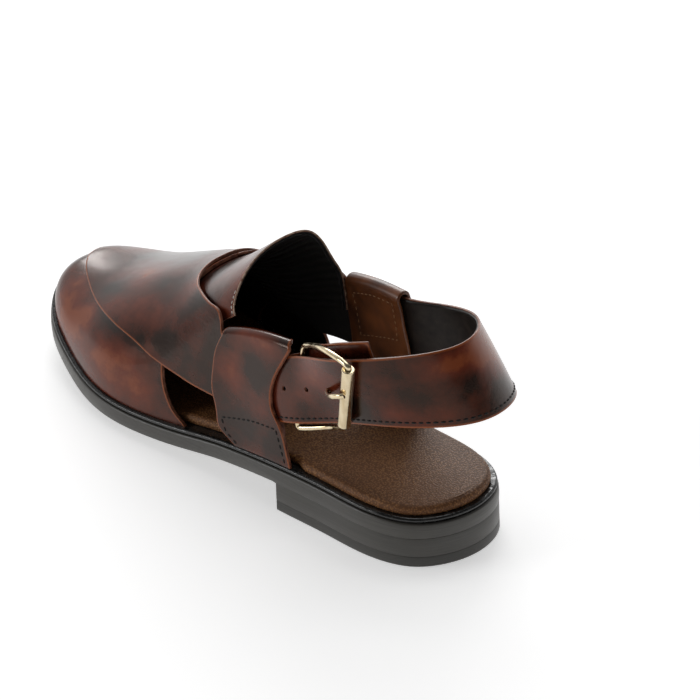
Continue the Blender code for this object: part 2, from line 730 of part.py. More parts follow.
def make_heel_strap(material):
    """The strap round the back of the heel, with its punched holes."""
    shares = np.linspace(0.0, 1.0, 48)
    downs = np.linspace(0.0, 1.0, 5)
    grid = [strap_point(shares, np.full(len(shares), down)) for down in downs]
    strap = add_object("heel_strap", sheet_mesh("heel_strap", grid), material)
    thicken(strap, STRAP_LEATHER)
    for number, share in enumerate(hole_shares()):
        inside = Vector(strap_point(share, PRONG_DOWN, -0.004))
        outside = Vector(strap_point(share, PRONG_DOWN, 0.004))
        shape = bmesh.new()
        bmesh.ops.create_cone(shape, cap_ends=True, segments=14, radius1=HOLE_RADIUS,
                              radius2=HOLE_RADIUS, depth=(outside - inside).length)
        mesh = finish_mesh(shape, "punch")
        punch = add_object(f"punch_{number + 1}", mesh, group=FORMS)
        punch.location = (inside + outside) / 2
        punch.rotation_euler = (outside - inside).to_track_quat("Z", "Y").to_euler()
        cut(strap, punch)
    return strap


def tab_depth(distance):
    """How far inside the strap's middle the tab's own middle lies, clear of the hinge bar."""
    close = STRAP_LEATHER / 2 + GAP + TAB_LEATHER / 2
    clear = close + 2 * WIRE_RADIUS + 2 * GAP
    before_bar = HINGE_FROM_LOOP - 2 * WIRE_RADIUS
    return close + (clear - close) * eased(distance, TAB_FREE, before_bar)


def make_buckle_tab(material):
    """The backing tab that holds the buckle and lies under it."""
    distances = np.linspace(-TAB_TUCKED, TAB_LENGTH, 20)
    grid = []
    for down in np.linspace(0.0, 1.0, 5):
        row = []
        for distance in distances:
            share = MOUTH_SHARE + distance / strap_length
            widen = float(eased(distance, TAB_WIDENS, TAB_WIDE))
            high = -TAB_ABOVE * widen / STRAP_WIDTH
            low = 1.0 + TAB_BELOW * widen / STRAP_WIDTH
            place = high + (low - high) * down
            row.append(strap_point(share, place, -float(tab_depth(distance))))
        grid.append(row)
    tab = add_object("buckle_tab", sheet_mesh("buckle_tab", grid), material)
    return thicken(tab, TAB_LEATHER)


def wire_object(name, points, radius, material, closed=False, sides=2):
    """A wire of round section through points."""
    curve = bpy.data.curves.new(name, "CURVE")
    curve.dimensions = "3D"
    curve.bevel_depth = radius
    curve.bevel_resolution = sides
    curve.use_fill_caps = not closed
    spline = curve.splines.new("POLY")
    spline.points.add(len(points) - 1)
    for knot, point in zip(spline.points, points):
        knot.co = (*point, 1.0)
    spline.use_cyclic_u = closed
    form = add_object(name + "_path", curve, group=FORMS)
    shape = bmesh.new()
    shape.from_mesh(form.to_mesh())
    form.to_mesh_clear()
    return add_object(name, finish_mesh(shape, name), material)


def strap_axes(share, depth, lean=0.0):
    """A place on the middle line of the strap and the way up across it there."""
    middle = strap_point(share, PRONG_DOWN, depth)
    up = strap_point(share - lean, 0.0) - strap_point(share + lean, 1.0)
    return middle, up / np.linalg.norm(up)


def make_buckle(material):
    """The buckle's bent frame, its roller and its prong, fastened as worn."""
    roller_depth = STRAP_LEATHER / 2 + GAP + ROLLER_RADIUS + 0.0005
    hinge_depth = STRAP_LEATHER / 2 + STRAP_CUP + GAP * 1.5 + WIRE_RADIUS
    centre, roller_up = strap_axes(ROLLER_SHARE, roller_depth, ROLLER_LEAN / strap_length)
    hinge = strap_axes(HINGE_SHARE, -hinge_depth)[0]
    reach = ROLLER_FROM_LOOP - HINGE_FROM_LOOP
    roller_half = ROLLER_LENGTH / 2 + 3 * GAP
    hinge_half = ARM_SPREAD - ARM_CORNER / 2

    def arm(side):
        turns = np.radians((0.0, 22.5, 45.0, 67.5, 90.0))
        bends = [(1 - math.sin(t), math.cos(t)) for t in turns]
        points = [(ARM_CORNER / 2 * back, hinge_half + (ARM_SPREAD - hinge_half) * aside)
                  for back, aside in bends[::-1]]
        points += [(reach * share, ARM_SPREAD) for share in (0.35, 0.55, 0.75)]
        points += [(reach - ARM_CORNER * back, roller_half + (ARM_SPREAD - roller_half) * aside)
                   for back, aside in bends]
        places = []
        for distance, spread in points:
            t = distance / reach
            share = HINGE_SHARE + distance / strap_length
            depth = (roller_depth + hinge_depth) * t ** ARM_RISE - hinge_depth
            middle, up = strap_axes(share, depth, ROLLER_LEAN * t * t / strap_length)
            bow = ARM_BOW * math.sin(math.pi * t ** 1.5)
            places.append(middle + up * side * (spread + bow))
        return places

    path = [hinge, *arm(-1), centre, *arm(1)[::-1]]
    wire_object("buckle_frame", path, WIRE_RADIUS, material, closed=True, sides=3)

    shape = bmesh.new()
    bmesh.ops.create_cone(shape, cap_ends=True, segments=24, radius1=ROLLER_RADIUS,
                          radius2=ROLLER_RADIUS, depth=ROLLER_LENGTH)
    roller = add_object("buckle_roller", finish_mesh(shape, "buckle_roller"), material)
    shape = bmesh.new()
    bore = WIRE_RADIUS + GAP
    bmesh.ops.create_cone(shape, cap_ends=True, segments=16, radius1=bore, radius2=bore,
                          depth=ROLLER_LENGTH * 1.2)
    bore_form = add_object("roller_bore", finish_mesh(shape, "roller_bore"), group=FORMS)
    turn = Vector(roller_up).to_track_quat("Z", "Y").to_euler()
    for item in (roller, bore_form):
        item.location = Vector(centre)
        item.rotation_euler = turn
    cut(roller, bore_form)

    hole = hole_shares()[0]
    before = 0.8 * PRONG_RADIUS / strap_length
    over = roller_depth + ROLLER_RADIUS + PRONG_RADIUS + GAP
    bar_clear = (WIRE_RADIUS + PRONG_RADIUS + GAP) / strap_length
    places = (
        (HINGE_SHARE + bar_clear, -hinge_depth),
        (hole - before, -hinge_depth + GAP),
        (hole, -STRAP_LEATHER / 2 - GAP),
        (hole, STRAP_LEATHER / 2 + GAP),
        (hole * 0.45 + ROLLER_SHARE * 0.55, over * 0.86),
        (hole * 0.2 + ROLLER_SHARE * 0.8, over + GAP),
        (ROLLER_SHARE, over + 2 * GAP),
        (ROLLER_SHARE + PRONG_RADIUS * 2 / strap_length, over),
    )
    climb = PRONG_CLIMB / STRAP_WIDTH
    path = [strap_point(share, PRONG_DOWN - climb * eased(share, hole, ROLLER_SHARE), depth)
            for share, depth in places]
    wire_object("buckle_prong", path, PRONG_RADIUS, material)


def build():
    """Clear the scene and make every piece."""
    for item in list(bpy.data.objects):
        bpy.data.objects.remove(item, do_unlink=True)
    brown = make_material("burnished_brown", (0.110, 0.030, 0.016), 0.28)
    lining = make_material("black_lining", (0.020, 0.018, 0.017), 0.60)
    footbed = make_material("brown_footbed", (0.085, 0.042, 0.030), 0.50)
    edge = make_material("black_edge", (0.012, 0.012, 0.012), 0.30)
    sole = make_material("dark_sole", (0.040, 0.040, 0.038), 0.45)
    rubber = make_material("heel_rubber", (0.018, 0.018, 0.018), 0.65)
    raw = make_material("raw_leather", (0.150, 0.060, 0.030), 0.65)
    gilt = make_material("pale_gold", (0.720, 0.600, 0.380), 0.22, 1.0)
    make_outsole(sole)
    make_midsole(edge)
    make_heel(sole, rubber)
    make_insole(footbed)
    make_upper(brown)
    make_tongue(lining)
    make_side_strap("side_strap_outer", False, brown)
    make_side_strap("side_strap_inner", True, brown)
    make_heel_strap(brown)
    make_buckle_tab(raw)
    make_buckle(gilt)


build()
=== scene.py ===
import math

import bmesh
import bpy
import numpy as np
from mathutils import Matrix, Vector


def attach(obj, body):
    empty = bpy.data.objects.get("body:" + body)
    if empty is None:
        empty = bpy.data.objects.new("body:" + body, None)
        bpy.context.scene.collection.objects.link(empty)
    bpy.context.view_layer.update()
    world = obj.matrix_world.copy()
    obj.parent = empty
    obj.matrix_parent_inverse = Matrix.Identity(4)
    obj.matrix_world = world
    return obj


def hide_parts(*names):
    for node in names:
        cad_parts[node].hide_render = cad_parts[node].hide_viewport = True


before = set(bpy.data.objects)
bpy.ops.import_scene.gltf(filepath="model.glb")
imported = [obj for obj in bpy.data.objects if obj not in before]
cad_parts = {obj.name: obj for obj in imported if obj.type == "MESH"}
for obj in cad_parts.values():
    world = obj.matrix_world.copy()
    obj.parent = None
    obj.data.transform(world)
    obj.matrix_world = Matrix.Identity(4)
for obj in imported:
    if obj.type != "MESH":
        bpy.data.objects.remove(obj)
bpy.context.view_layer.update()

# Outsole: a leather sole with a waist, a sprung toe and a low heel seat, bellied underneath.
# Its edge is sanded, dyed nearly black and waxed.
SOLE_LENGTH = 0.2958
BALL_WIDTH = 0.101
HEEL_CENTRE = 0.035
SEAT_RISE = 0.012
BALL_HEIGHT = 0.011
TOE_SPRING = 0.012
SOLE_EDGE = 0.0078
SOLE_BELLY = 0.0042
SOLE_COLUMNS = ("along", "centre", "half", "rise", "spring", "belly")
SOLE_ROWS = (
    (0.000, 0.006, 0.000, 1.00, 0.00, 0.0),
    (0.022, 0.005, 0.211, 1.00, 0.00, 0.0),
    (0.063, 0.005, 0.307, 1.00, 0.00, 0.0),
    (0.101, 0.002, 0.341, 1.00, 0.00, 0.0),
    (0.203, -0.020, 0.354, 1.00, 0.00, 0.0),
    (0.318, -0.042, 0.369, 0.91, 0.00, 0.1),
    (0.396, -0.046, 0.377, 0.68, 0.00, 0.2),
    (0.453, -0.046, 0.393, 0.50, 0.00, 0.5),
    (0.531, -0.045, 0.430, 0.22, 0.00, 0.8),
    (0.592, -0.042, 0.463, 0.08, 0.00, 1.0),
    (0.703, -0.030, 0.500, 0.00, 0.00, 1.0),
    (0.761, -0.018, 0.488, 0.00, 0.04, 1.0),
    (0.838, -0.002, 0.439, 0.00, 0.23, 0.9),
    (0.913, 0.004, 0.355, 0.00, 0.56, 0.6),
    (0.970, 0.003, 0.222, 0.00, 0.85, 0.4),
    (1.000, 0.000, 0.000, 0.00, 1.00, 0.3),
)


def natural_spline(knots, values):
    """A smooth function through the values, straight at both ends."""
    x = np.asarray(knots, float)
    y = np.asarray(values, float)
    h = np.diff(x)
    count = len(x)
    system = np.eye(count)
    right = np.zeros(count)
    for i in range(1, count - 1):
        system[i, i - 1:i + 2] = h[i - 1], 2 * (h[i - 1] + h[i]), h[i]
        right[i] = 6 * ((y[i + 1] - y[i]) / h[i] - (y[i] - y[i - 1]) / h[i - 1])
    bend = np.linalg.solve(system, right)

    def value(at):
        at = np.asarray(at, float)
        i = np.clip(np.searchsorted(x, at) - 1, 0, count - 2)
        near = x[i + 1] - at
        far = at - x[i]
        curve = (bend[i] * near ** 3 + bend[i + 1] * far ** 3) / (6 * h[i])
        low = (y[i] / h[i] - bend[i] * h[i] / 6) * near
        high = (y[i + 1] / h[i] - bend[i + 1] * h[i] / 6) * far
        return curve + low + high

    return value


def running(steps):
    """Running length along a row of steps, from 0."""
    return np.concatenate([[0.0], np.cumsum(steps)])


def table_curve(columns, rows, name, scale=1.0, power=1.0):
    """A smooth function of the distance from the back of the heel, from one column."""
    along = np.array([row[0] for row in rows]) * SOLE_LENGTH
    values = np.array([row[columns.index(name)] for row in rows]) * scale
    return natural_spline(along, values ** power)


sole_centre = table_curve(SOLE_COLUMNS, SOLE_ROWS, "centre", BALL_WIDTH)
half_squared = table_curve(SOLE_COLUMNS, SOLE_ROWS, "half", BALL_WIDTH, 2)
sole_rise = table_curve(SOLE_COLUMNS, SOLE_ROWS, "rise")
sole_spring = table_curve(SOLE_COLUMNS, SOLE_ROWS, "spring")
sole_belly = table_curve(SOLE_COLUMNS, SOLE_ROWS, "belly")


def sole_half(along):
    """Half the sole's width at a distance from the back of the heel."""
    return np.sqrt(np.maximum(half_squared(along), 0.0))


def sole_top(along):
    """Height of the outsole's top edge."""
    return BALL_HEIGHT + SEAT_RISE * sole_rise(along) + TOE_SPRING * sole_spring(along)


def sole_bottom(along, across):
    """Height of the outsole's underside, bellied between its edges and flat on the floor."""
    belly = SOLE_BELLY * sole_belly(along) * (1 - np.abs(across) ** 3)
    return np.maximum(sole_top(along) - SOLE_EDGE - belly, 0.0)


UV_PER_METRE = 10
SAME_PLACE = 0.000004


def grid_shape(points, paint=None):
    """A bmesh grid that takes its places from rows of points, and its layers from paint."""
    points = np.asarray(points, float)
    rows, columns = points.shape[:2]
    shape = bmesh.new()
    bmesh.ops.create_grid(shape, x_segments=columns - 1, y_segments=rows - 1, size=1.0)
    layers = {name: shape.verts.layers.float.new(name) for name in (paint or {})}
    where = shape.loops.layers.uv.new("sheet")
    index = {}
    shape.verts.index_update()
    for vertex in shape.verts:
        i = round((vertex.co.x + 1) / 2 * (columns - 1))
        j = round((vertex.co.y + 1) / 2 * (rows - 1))
        index[vertex.index] = (i, j)
        vertex.co = points[j, i]
        for name, layer in layers.items():
            vertex[layer] = float(paint[name][j, i])
    u = running(np.linalg.norm(np.diff(points, axis=1), axis=2).mean(axis=0)) * UV_PER_METRE
    v = running(np.linalg.norm(np.diff(points, axis=0), axis=2).mean(axis=1)) * UV_PER_METRE
    for face in shape.faces:
        for loop in face.loops:
            i, j = index[loop.vert.index]
            loop[where].uv = (u[i], v[j])
    return shape


def settle(shape, name, closed=True, sharp=50):
    """Merge doubles, point the faces out and make the object."""
    bmesh.ops.remove_doubles(shape, verts=shape.verts, dist=SAME_PLACE)
    if closed:
        bmesh.ops.recalc_face_normals(shape, faces=shape.faces)
    mesh = bpy.data.meshes.new(name)
    shape.to_mesh(mesh)
    shape.free()
    item = bpy.data.objects.new(name, mesh)
    bpy.context.scene.collection.objects.link(item)
    mesh.shade_smooth()
    mesh.set_sharp_from_angle(angle=math.radians(sharp))
    return item


def fasten(item, slot, *nodes):
    """Let a piece ride on the shoe and hide the solids that it stands for. The slot argument is not used."""
    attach(item, "root")
    if nodes:
        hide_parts(*nodes)


def dress(item, *materials):
    """Give a piece its materials: its face, its back and its cut edge."""
    for material in materials:
        item.data.materials.append(material)
    return item


def outline(turns):
    """Both sides of the sole's plan at some turns from heel to toe, and their outward ways."""
    along = SOLE_LENGTH * (1 - np.cos(turns)) / 2
    sides = []
    for side in (-1.0, 1.0):
        points = np.stack([sole_centre(along) + side * sole_half(along), along - HEEL_CENTRE], -1)
        ahead = np.gradient(points, axis=0)
        if turns[0] < 0.001:
            ahead[0] = (side, 0.0)
        if turns[-1] > math.pi - 0.001:
            ahead[-1] = (-side, 0.0)
        ahead /= np.linalg.norm(ahead, axis=1, keepdims=True)
        out = np.stack([ahead[:, 1], -ahead[:, 0]], -1) * side
        sides.append((points, out))
    return along, sides


def plate(name, turns, levels, top, bottom, across=24, hollow=0.0):
    """A plate that follows the sole's plan: levels give insets and heights of its edge."""
    along, sides = outline(turns)
    spread = np.sin(np.linspace(-math.pi / 2, math.pi / 2, across + 1))
    rings = []
    for i, place in enumerate(along):
        edges = []
        for points, out in sides:
            rim = []
            for inset, height in levels:
                x, y = points[i] - out[i] * inset(place)
                rim.append((x, y, height(place)))
            edges.append(rim)
        left, right = (np.array(edge) for edge in edges)
        share = (spread[1:-1, None] + 1) / 2
        over = left[-1] * (1 - share) + right[-1] * share
        over[:, 2] = top(place, spread[1:-1])
        under = right[0] * (1 - share) + left[0] * share
        under[:, 2] = bottom(place, spread[1:-1])
        ring = np.concatenate([left, over, right[::-1], under, left[:1]])
        if hollow:
            middle = float(sole_centre(place))
            wide = max(float(sole_half(place)), 0.001)
            near = max(0.0, (place - along[-1] * 0.7) / (along[-1] * 0.3)) ** 2
            ring[:, 1] -= hollow * near * np.clip(1 - ((ring[:, 0] - middle) / wide) ** 2, 0, 1)
        rings.append(ring)
    shape = grid_shape(rings)
    if hollow:
        bmesh.ops.remove_doubles(shape, verts=shape.verts, dist=SAME_PLACE)
        breast = [edge for edge in shape.edges if edge.is_boundary]
        bmesh.ops.contextual_create(shape, geom=breast)
    return settle(shape, name)


def nodes_of(name):
    """A new material with its shader and its node tools."""
    material = bpy.data.materials.new(name)
    material.use_nodes = True
    tree = material.node_tree
    return material, tree, tree.nodes["Principled BSDF"]


def link(tree, source, target):
    """Join two sockets."""
    tree.links.new(source, target)


def texture(tree, kind, scale, stretch=(1, 1, 1), detail=None, coords="Object", **values):
    """A texture on the piece's own coordinates, stretched along an axis."""
    where = tree.nodes.new("ShaderNodeTexCoord")
    mapping = tree.nodes.new("ShaderNodeMapping")
    mapping.inputs["Scale"].default_value = stretch
    node = tree.nodes.new(kind)
    node.inputs["Scale"].default_value = scale
    if detail is not None:
        node.inputs["Detail"].default_value = detail
    for socket, value in values.items():
        node.inputs[socket.replace("_", " ").title()].default_value = value
    link(tree, where.outputs[coords], mapping.inputs["Vector"])
    link(tree, mapping.outputs["Vector"], node.inputs["Vector"])
    return node


def ramp(tree, source, stops):
    """A colour ramp on a value."""
    node = tree.nodes.new("ShaderNodeValToRGB")
    marks = node.color_ramp.elements
    while len(marks) < len(stops):
        marks.new(0.5)
    for mark, (place, colour) in zip(marks, stops):
        mark.position = place
        mark.color = (*colour, 1.0)
    link(tree, source, node.inputs["Fac"])
    return node.outputs["Color"]


def blend(tree, share, first, second):
    """Mix two colours by a share. Each may be a socket or a plain colour."""
    node = tree.nodes.new("ShaderNodeMix")
    node.data_type = "RGBA"
    for socket, value in ((node.inputs[0], share), (node.inputs[6], first), (node.inputs[7], second)):
        if hasattr(value, "links"):
            link(tree, value, socket)
        else:
            socket.default_value = (*value, 1.0)
    return node.outputs[2]


def calc(tree, operation, first, second):
    """Arithmetic on two sockets or numbers."""
    node = tree.nodes.new("ShaderNodeMath")
    node.operation = operation
    for socket, value in zip(node.inputs, (first, second)):
        if hasattr(value, "links"):
            link(tree, value, socket)
        else:
            socket.default_value = value
    return node.outputs[0]


def weigh(tree, start, *pairs):
    """A number plus several values, each with its weight."""
    total = start
    for value, weight in pairs:
        total = calc(tree, "ADD", total, calc(tree, "MULTIPLY", value, weight))
    return total


def between(tree, value, low, high, start=0.0, end=1.0):
    """A value eased from one range to another."""
    node = tree.nodes.new("ShaderNodeMapRange")
    node.interpolation_type = "SMOOTHSTEP"
    link(tree, value, node.inputs[0])
    for socket, number in zip(node.inputs[1:5], (low, high, start, end)):
        socket.default_value = number
    return node.outputs[0]


def bump(tree, shader, height, depth):
    """Raise the surface by a height value."""
    node = tree.nodes.new("ShaderNodeBump")
    node.inputs["Distance"].default_value = depth
    node.inputs["Strength"].default_value = 1.0
    link(tree, height, node.inputs["Height"])
    link(tree, node.outputs["Normal"], shader.inputs["Normal"])


def waxed_edge(name, dark, pale, gloss):
    """Dyed and waxed sole leather, with faint lines that run round the edge."""
    material, tree, shader = nodes_of(name)
    lines = texture(tree, "ShaderNodeTexNoise", 40.0, (1, 1, 90), detail=3)
    dabs = texture(tree, "ShaderNodeTexNoise", 60.0, detail=5)
    both = weigh(tree, 0.0, (lines.outputs["Fac"], 0.6), (dabs.outputs["Fac"], 0.4))
    link(tree, ramp(tree, both, ((0.35, dark), (0.70, pale))), shader.inputs["Base Color"])
    link(tree, between(tree, dabs.outputs["Fac"], 0.3, 0.7, gloss, gloss + 0.12), shader.inputs["Roughness"])
    bump(tree, shader, both, 0.00007)
    shader.inputs["Specular IOR Level"].default_value = 0.6
    return material


CORNER = 0.0009
HEEL_CORNER = 0.00012
HEEL_REACH = SOLE_LENGTH * 0.31
EDGE_SWELL = 0.0002
EDGE_MIDDLE = 0.0042
FULL_TURN = np.linspace(0.0, math.pi, 181)


def edge_top(along):
    """Height of the outsole's top edge, as a plain number."""
    return float(sole_top(along))


def edge_foot(along):
    """Height of the outsole's lower edge, as a plain number."""
    return float(sole_bottom(along, 1.0))


def edge_levels(base, *rows):
    """Levels of an edge: how far in from the sole's plan, and how far above a base height."""
    return tuple((lambda s, inset=inset: inset, lambda s, up=up: base(s) + up) for inset, up in rows)


def low_corner(along):
    """How far the outsole's lower corner is rounded: nearly nothing where the heel meets it."""
    return CORNER if along > HEEL_REACH else HEEL_CORNER


outsole = plate(
    "outsole_leather", FULL_TURN,
    (
        (low_corner, edge_foot),
        (lambda s: low_corner(s) * 0.3, lambda s: edge_foot(s) + low_corner(s) * 0.3),
        (lambda s: 0.0, lambda s: edge_foot(s) + low_corner(s)),
        *edge_levels(edge_top, (-EDGE_SWELL, -EDGE_MIDDLE), (0.0, -CORNER),
                     (CORNER / 3, -CORNER / 3), (CORNER, 0.0)),
    ),
    lambda s, u: np.full(u.shape, edge_top(s)),
    lambda s, u: sole_bottom(s, u))
sole_black = waxed_edge("waxed_sole_edge", (0.030, 0.027, 0.022), (0.058, 0.053, 0.044), 0.32)
dress(outsole, sole_black)
fasten(outsole, "dark_sole", "outsole")

# Midsole: a thin strip of leather between sole and upper, dyed glossy black. Its rounded edge
# shows as a dark line all round the shoe, and its top as a margin round the footbed.
MIDSOLE_THICKNESS = 0.0022
GAP = 0.0003
MIDSOLE_INSET = 0.0004
MIDSOLE_ROUND = 0.0011


def midsole_height(along):
    """Height of the midsole's top."""
    return edge_top(along) + GAP + MIDSOLE_THICKNESS


midsole = plate(
    "midsole_strip", FULL_TURN,
    tuple(
        (lambda s, t=t: MIDSOLE_INSET + MIDSOLE_ROUND * (1 - math.cos(t)),
         lambda s, t=t: midsole_height(s) - MIDSOLE_THICKNESS / 2 * (1 - math.sin(t)))
        for t in np.radians((-90, -60, -30, 0, 30, 60, 90))),
    lambda s, u: np.full(u.shape, midsole_height(s)),
    lambda s, u: np.full(u.shape, midsole_height(s) - MIDSOLE_THICKNESS))


def black_dye():
    """Black edge dye, glossy with small rough dabs of glue."""
    material, tree, shader = nodes_of("black_edge_dye")
    dabs = texture(tree, "ShaderNodeTexNoise", 260.0, detail=5)
    colour = ramp(tree, dabs.outputs["Fac"], ((0.45, (0.006, 0.006, 0.006)), (0.80, (0.020, 0.019, 0.018))))
    link(tree, colour, shader.inputs["Base Color"])
    link(tree, between(tree, dabs.outputs["Fac"], 0.35, 0.75, 0.16, 0.42), shader.inputs["Roughness"])
    bump(tree, shader, dabs.outputs["Fac"], 0.0004)
    return material


dress(midsole, black_dye())
fasten(midsole, "black_edge", "midsole")

# Heel: stacked leather under the seat, sanded flush with the outsole and dyed with it, and a
# rubber lift that shows as a fine line just above the floor.
HEEL_LENGTH = 0.090
LIFT_THICKNESS = 0.0055
BREAST_HOLLOW = 0.004
HEEL_JOINT = GAP / 6
heel_turns = np.linspace(0.0, math.acos(1 - 2 * HEEL_LENGTH / SOLE_LENGTH), 70)


def lift_top(along):
    """Height of the lift's top, flat all over."""
    return LIFT_THICKNESS


def floor_height(along):
    """Height of the lift's underside."""
    return 0.0


heel_block = plate(
    "heel_stack", heel_turns,
    edge_levels(lift_top, (HEEL_CORNER, HEEL_JOINT), (0.0, GAP))
    + edge_levels(edge_foot, (0.0, -GAP), (HEEL_CORNER, -HEEL_JOINT)),
    lambda s, u: sole_bottom(s, u) - HEEL_JOINT,
    lambda s, u: np.full(u.shape, LIFT_THICKNESS + HEEL_JOINT), across=16, hollow=BREAST_HOLLOW)
dress(heel_block, sole_black)
fasten(heel_block, "dark_sole", "heel_block")
heel_lift = plate(
    "heel_lift_rubber", heel_turns,
    edge_levels(floor_height, (0.0008, 0.0), (0.0002, 0.0003), (0.0, CORNER),
                (0.0, LIFT_THICKNESS - GAP), (0.00015, LIFT_THICKNESS)),
    lambda s, u: np.full(u.shape, LIFT_THICKNESS),
    lambda s, u: np.zeros(u.shape), across=16, hollow=BREAST_HOLLOW)
lift_black = waxed_edge("heel_lift_black", (0.026, 0.024, 0.020), (0.050, 0.046, 0.039), 0.36)
dress(heel_lift, lift_black)
fasten(heel_lift, "heel_rubber", "heel_lift")

# Footbed: brown pebbled leather over a thin foam pad, turned down over a rounded rim and glued
# to the midsole inside the side straps.
PAD_THICKNESS = 0.0042
PAD_ROUND = 0.0026
PAD_CROWN = 0.0003
PAD_TUCK = 0.0003
PAD_LARGEST_INSET = 0.0100
PAD_INSETS = (
    (0.00, 0.34), (0.20, 0.34), (0.250, 0.36), (0.272, 0.62), (0.40, 0.62),
    (0.47, 0.70), (0.60, 0.76), (0.80, 0.75), (0.90, 0.90), (1.00, 1.05),
)


def pad_inset(along):
    """How far the footbed's side stays inside the sole's edge."""
    places = [row[0] * SOLE_LENGTH for row in PAD_INSETS]
    return float(np.interp(along, places, [row[1] for row in PAD_INSETS])) * PAD_LARGEST_INSET


def pad_foot(along):
    """Height of the footbed's underside."""
    return midsole_height(along) + GAP / 3


def pad_crown(along, across):
    """Height of the footbed's top, slightly crowned by its foam."""
    return pad_foot(along) + PAD_THICKNESS + PAD_CROWN * (1 - across ** 2)


footbed_levels = [(lambda s: pad_inset(s) + PAD_TUCK * 2, pad_foot)]
for turn in np.radians((-35, 0, 22, 45, 62, 78, 90)):
    footbed_levels.append((
        lambda s, t=turn: pad_inset(s) + PAD_ROUND * (1 - math.cos(max(t, 0.0))) + PAD_TUCK * (t < 0),
        lambda s, t=turn: pad_foot(s) + PAD_THICKNESS - PAD_ROUND * (1 - math.sin(t))))
footbed = plate(
    "footbed_leather", FULL_TURN, tuple(footbed_levels), pad_crown,
    lambda s, u: np.full(u.shape, pad_foot(s)), across=30)


def pebbled_leather():
    """Brown pebbled lining leather with soft rubbed tops."""
    material, tree, shader = nodes_of("pebbled_footbed")
    cells = texture(tree, "ShaderNodeTexVoronoi", 1150.0, (1, 0.8, 1))
    wrinkles = texture(tree, "ShaderNodeTexNoise", 1500.0, detail=4)
    cloud = texture(tree, "ShaderNodeTexNoise", 30.0, detail=3)
    grain = weigh(tree, between(tree, cells.outputs["Distance"], 0.0, 0.75, 1.0, 0.0),
                  (wrinkles.outputs["Fac"], 0.5))
    tone = blend(tree, between(tree, cloud.outputs["Fac"], 0.3, 0.7),
                 (0.235, 0.100, 0.034), (0.330, 0.152, 0.052))
    colour = blend(tree, between(tree, grain, 0.2, 1.2), (0.115, 0.046, 0.017), tone)
    link(tree, colour, shader.inputs["Base Color"])
    link(tree, between(tree, grain, 0.2, 1.3, 0.60, 0.42), shader.inputs["Roughness"])
    shader.inputs["Specular IOR Level"].default_value = 0.40
    shader.inputs["Specular Tint"].default_value = (1.0, 0.84, 0.72, 1.0)
    bump(tree, shader, grain, 0.00016)
    return material


dress(footbed, pebbled_leather())
fasten(footbed, "brown_footbed", "insole")

# Toe band: the lower of the two crossed panels. Its toe part is lasted under at the sole, and its
# other end runs over the instep and down the inner side as a strap into the inner side strap.
# All panels are pulled over one last, each at its own depth in the stack of leathers.
INSTEP_HEIGHT = 0.0945
FEATHER_INSET = 0.004
LAST_COLUMNS = ("along", "height", "ridge", "outer_full", "inner_full", "outer_inset", "inner_inset")
LAST_ROWS = (
    (0.2640, 1.079, 0.023, 2.20, 2.40, 1.62, 0.70),
    (0.3380, 1.058, 0.040, 2.20, 2.40, 1.65, 0.70),
    (0.4226, 1.000, 0.064, 2.15, 2.35, 1.55, 0.70),
    (0.5070, 0.857, 0.087, 2.10, 2.30, 1.25, 0.85),
    (0.5920, 0.683, 0.098, 2.03, 2.35, 1.07, 0.95),
    (0.6760, 0.550, 0.094, 2.00, 2.40, 1.00, 1.00),
    (0.7610, 0.417, 0.070, 2.08, 2.40, 1.00, 1.00),
    (0.8380, 0.286, 0.042, 2.10, 2.30, 1.00, 1.00),
    (0.8960, 0.197, 0.025, 2.10, 2.20, 0.90, 1.00),
    (0.9400, 0.137, 0.013, 2.10, 2.15, 0.65, 0.72),
    (0.9700, 0.093, 0.005, 2.10, 2.12, 0.30, 0.32),
    (0.9888, 0.000, 0.000, 2.10, 2.10, 0.00, 0.00),
)
LAST_TIP = SOLE_LENGTH * LAST_ROWS[-1][0]
TOE_START = SOLE_LENGTH * 0.81
last_height_squared = table_curve(LAST_COLUMNS, LAST_ROWS, "height", INSTEP_HEIGHT, 2)
last_ridge = table_curve(LAST_COLUMNS, LAST_ROWS, "ridge", BALL_WIDTH)
outer_full = table_curve(LAST_COLUMNS, LAST_ROWS, "outer_full")
inner_full = table_curve(LAST_COLUMNS, LAST_ROWS, "inner_full")
outer_inset = table_curve(LAST_COLUMNS, LAST_ROWS, "outer_inset", FEATHER_INSET)
inner_inset = table_curve(LAST_COLUMNS, LAST_ROWS, "inner_inset", FEATHER_INSET)


def over_sole(along):
    """The place on the sole that a place on the last stands over."""
    stretch = np.clip((along - TOE_START) / (LAST_TIP - TOE_START), 0.0, 1.0)
    return along + (SOLE_LENGTH - LAST_TIP) * stretch


def last_point(along, around):
    """A point of the last: distance from the back of the heel, angle from the outer side."""
    along = np.asarray(along, float) + 0 * np.asarray(around, float)
    angle = np.radians(np.asarray(around, float) + 0 * along)
    inside = np.clip(angle, 0.0, math.pi)
    height = np.sqrt(np.maximum(last_height_squared(along), 0.0))
    half = sole_half(over_sole(along))
    middle = sole_centre(along)
    outer = middle - half + outer_inset(along)
    inner = middle + half - inner_inset(along)
    ridge = np.clip(last_ridge(along), outer, inner)
    across = np.cos(inside)
    full = np.where(across > 0, outer_full(along), inner_full(along))
    side = np.where(across > 0, outer, inner)
    feather = sole_top(over_sole(along)) + MIDSOLE_THICKNESS + 1.4 * GAP
    x = ridge + (side - ridge) * np.abs(across) ** (2 / full)
    z = feather + height * np.sin(inside) ** (2 / full)
    return np.stack([x, along - HEEL_CENTRE, z], -1)


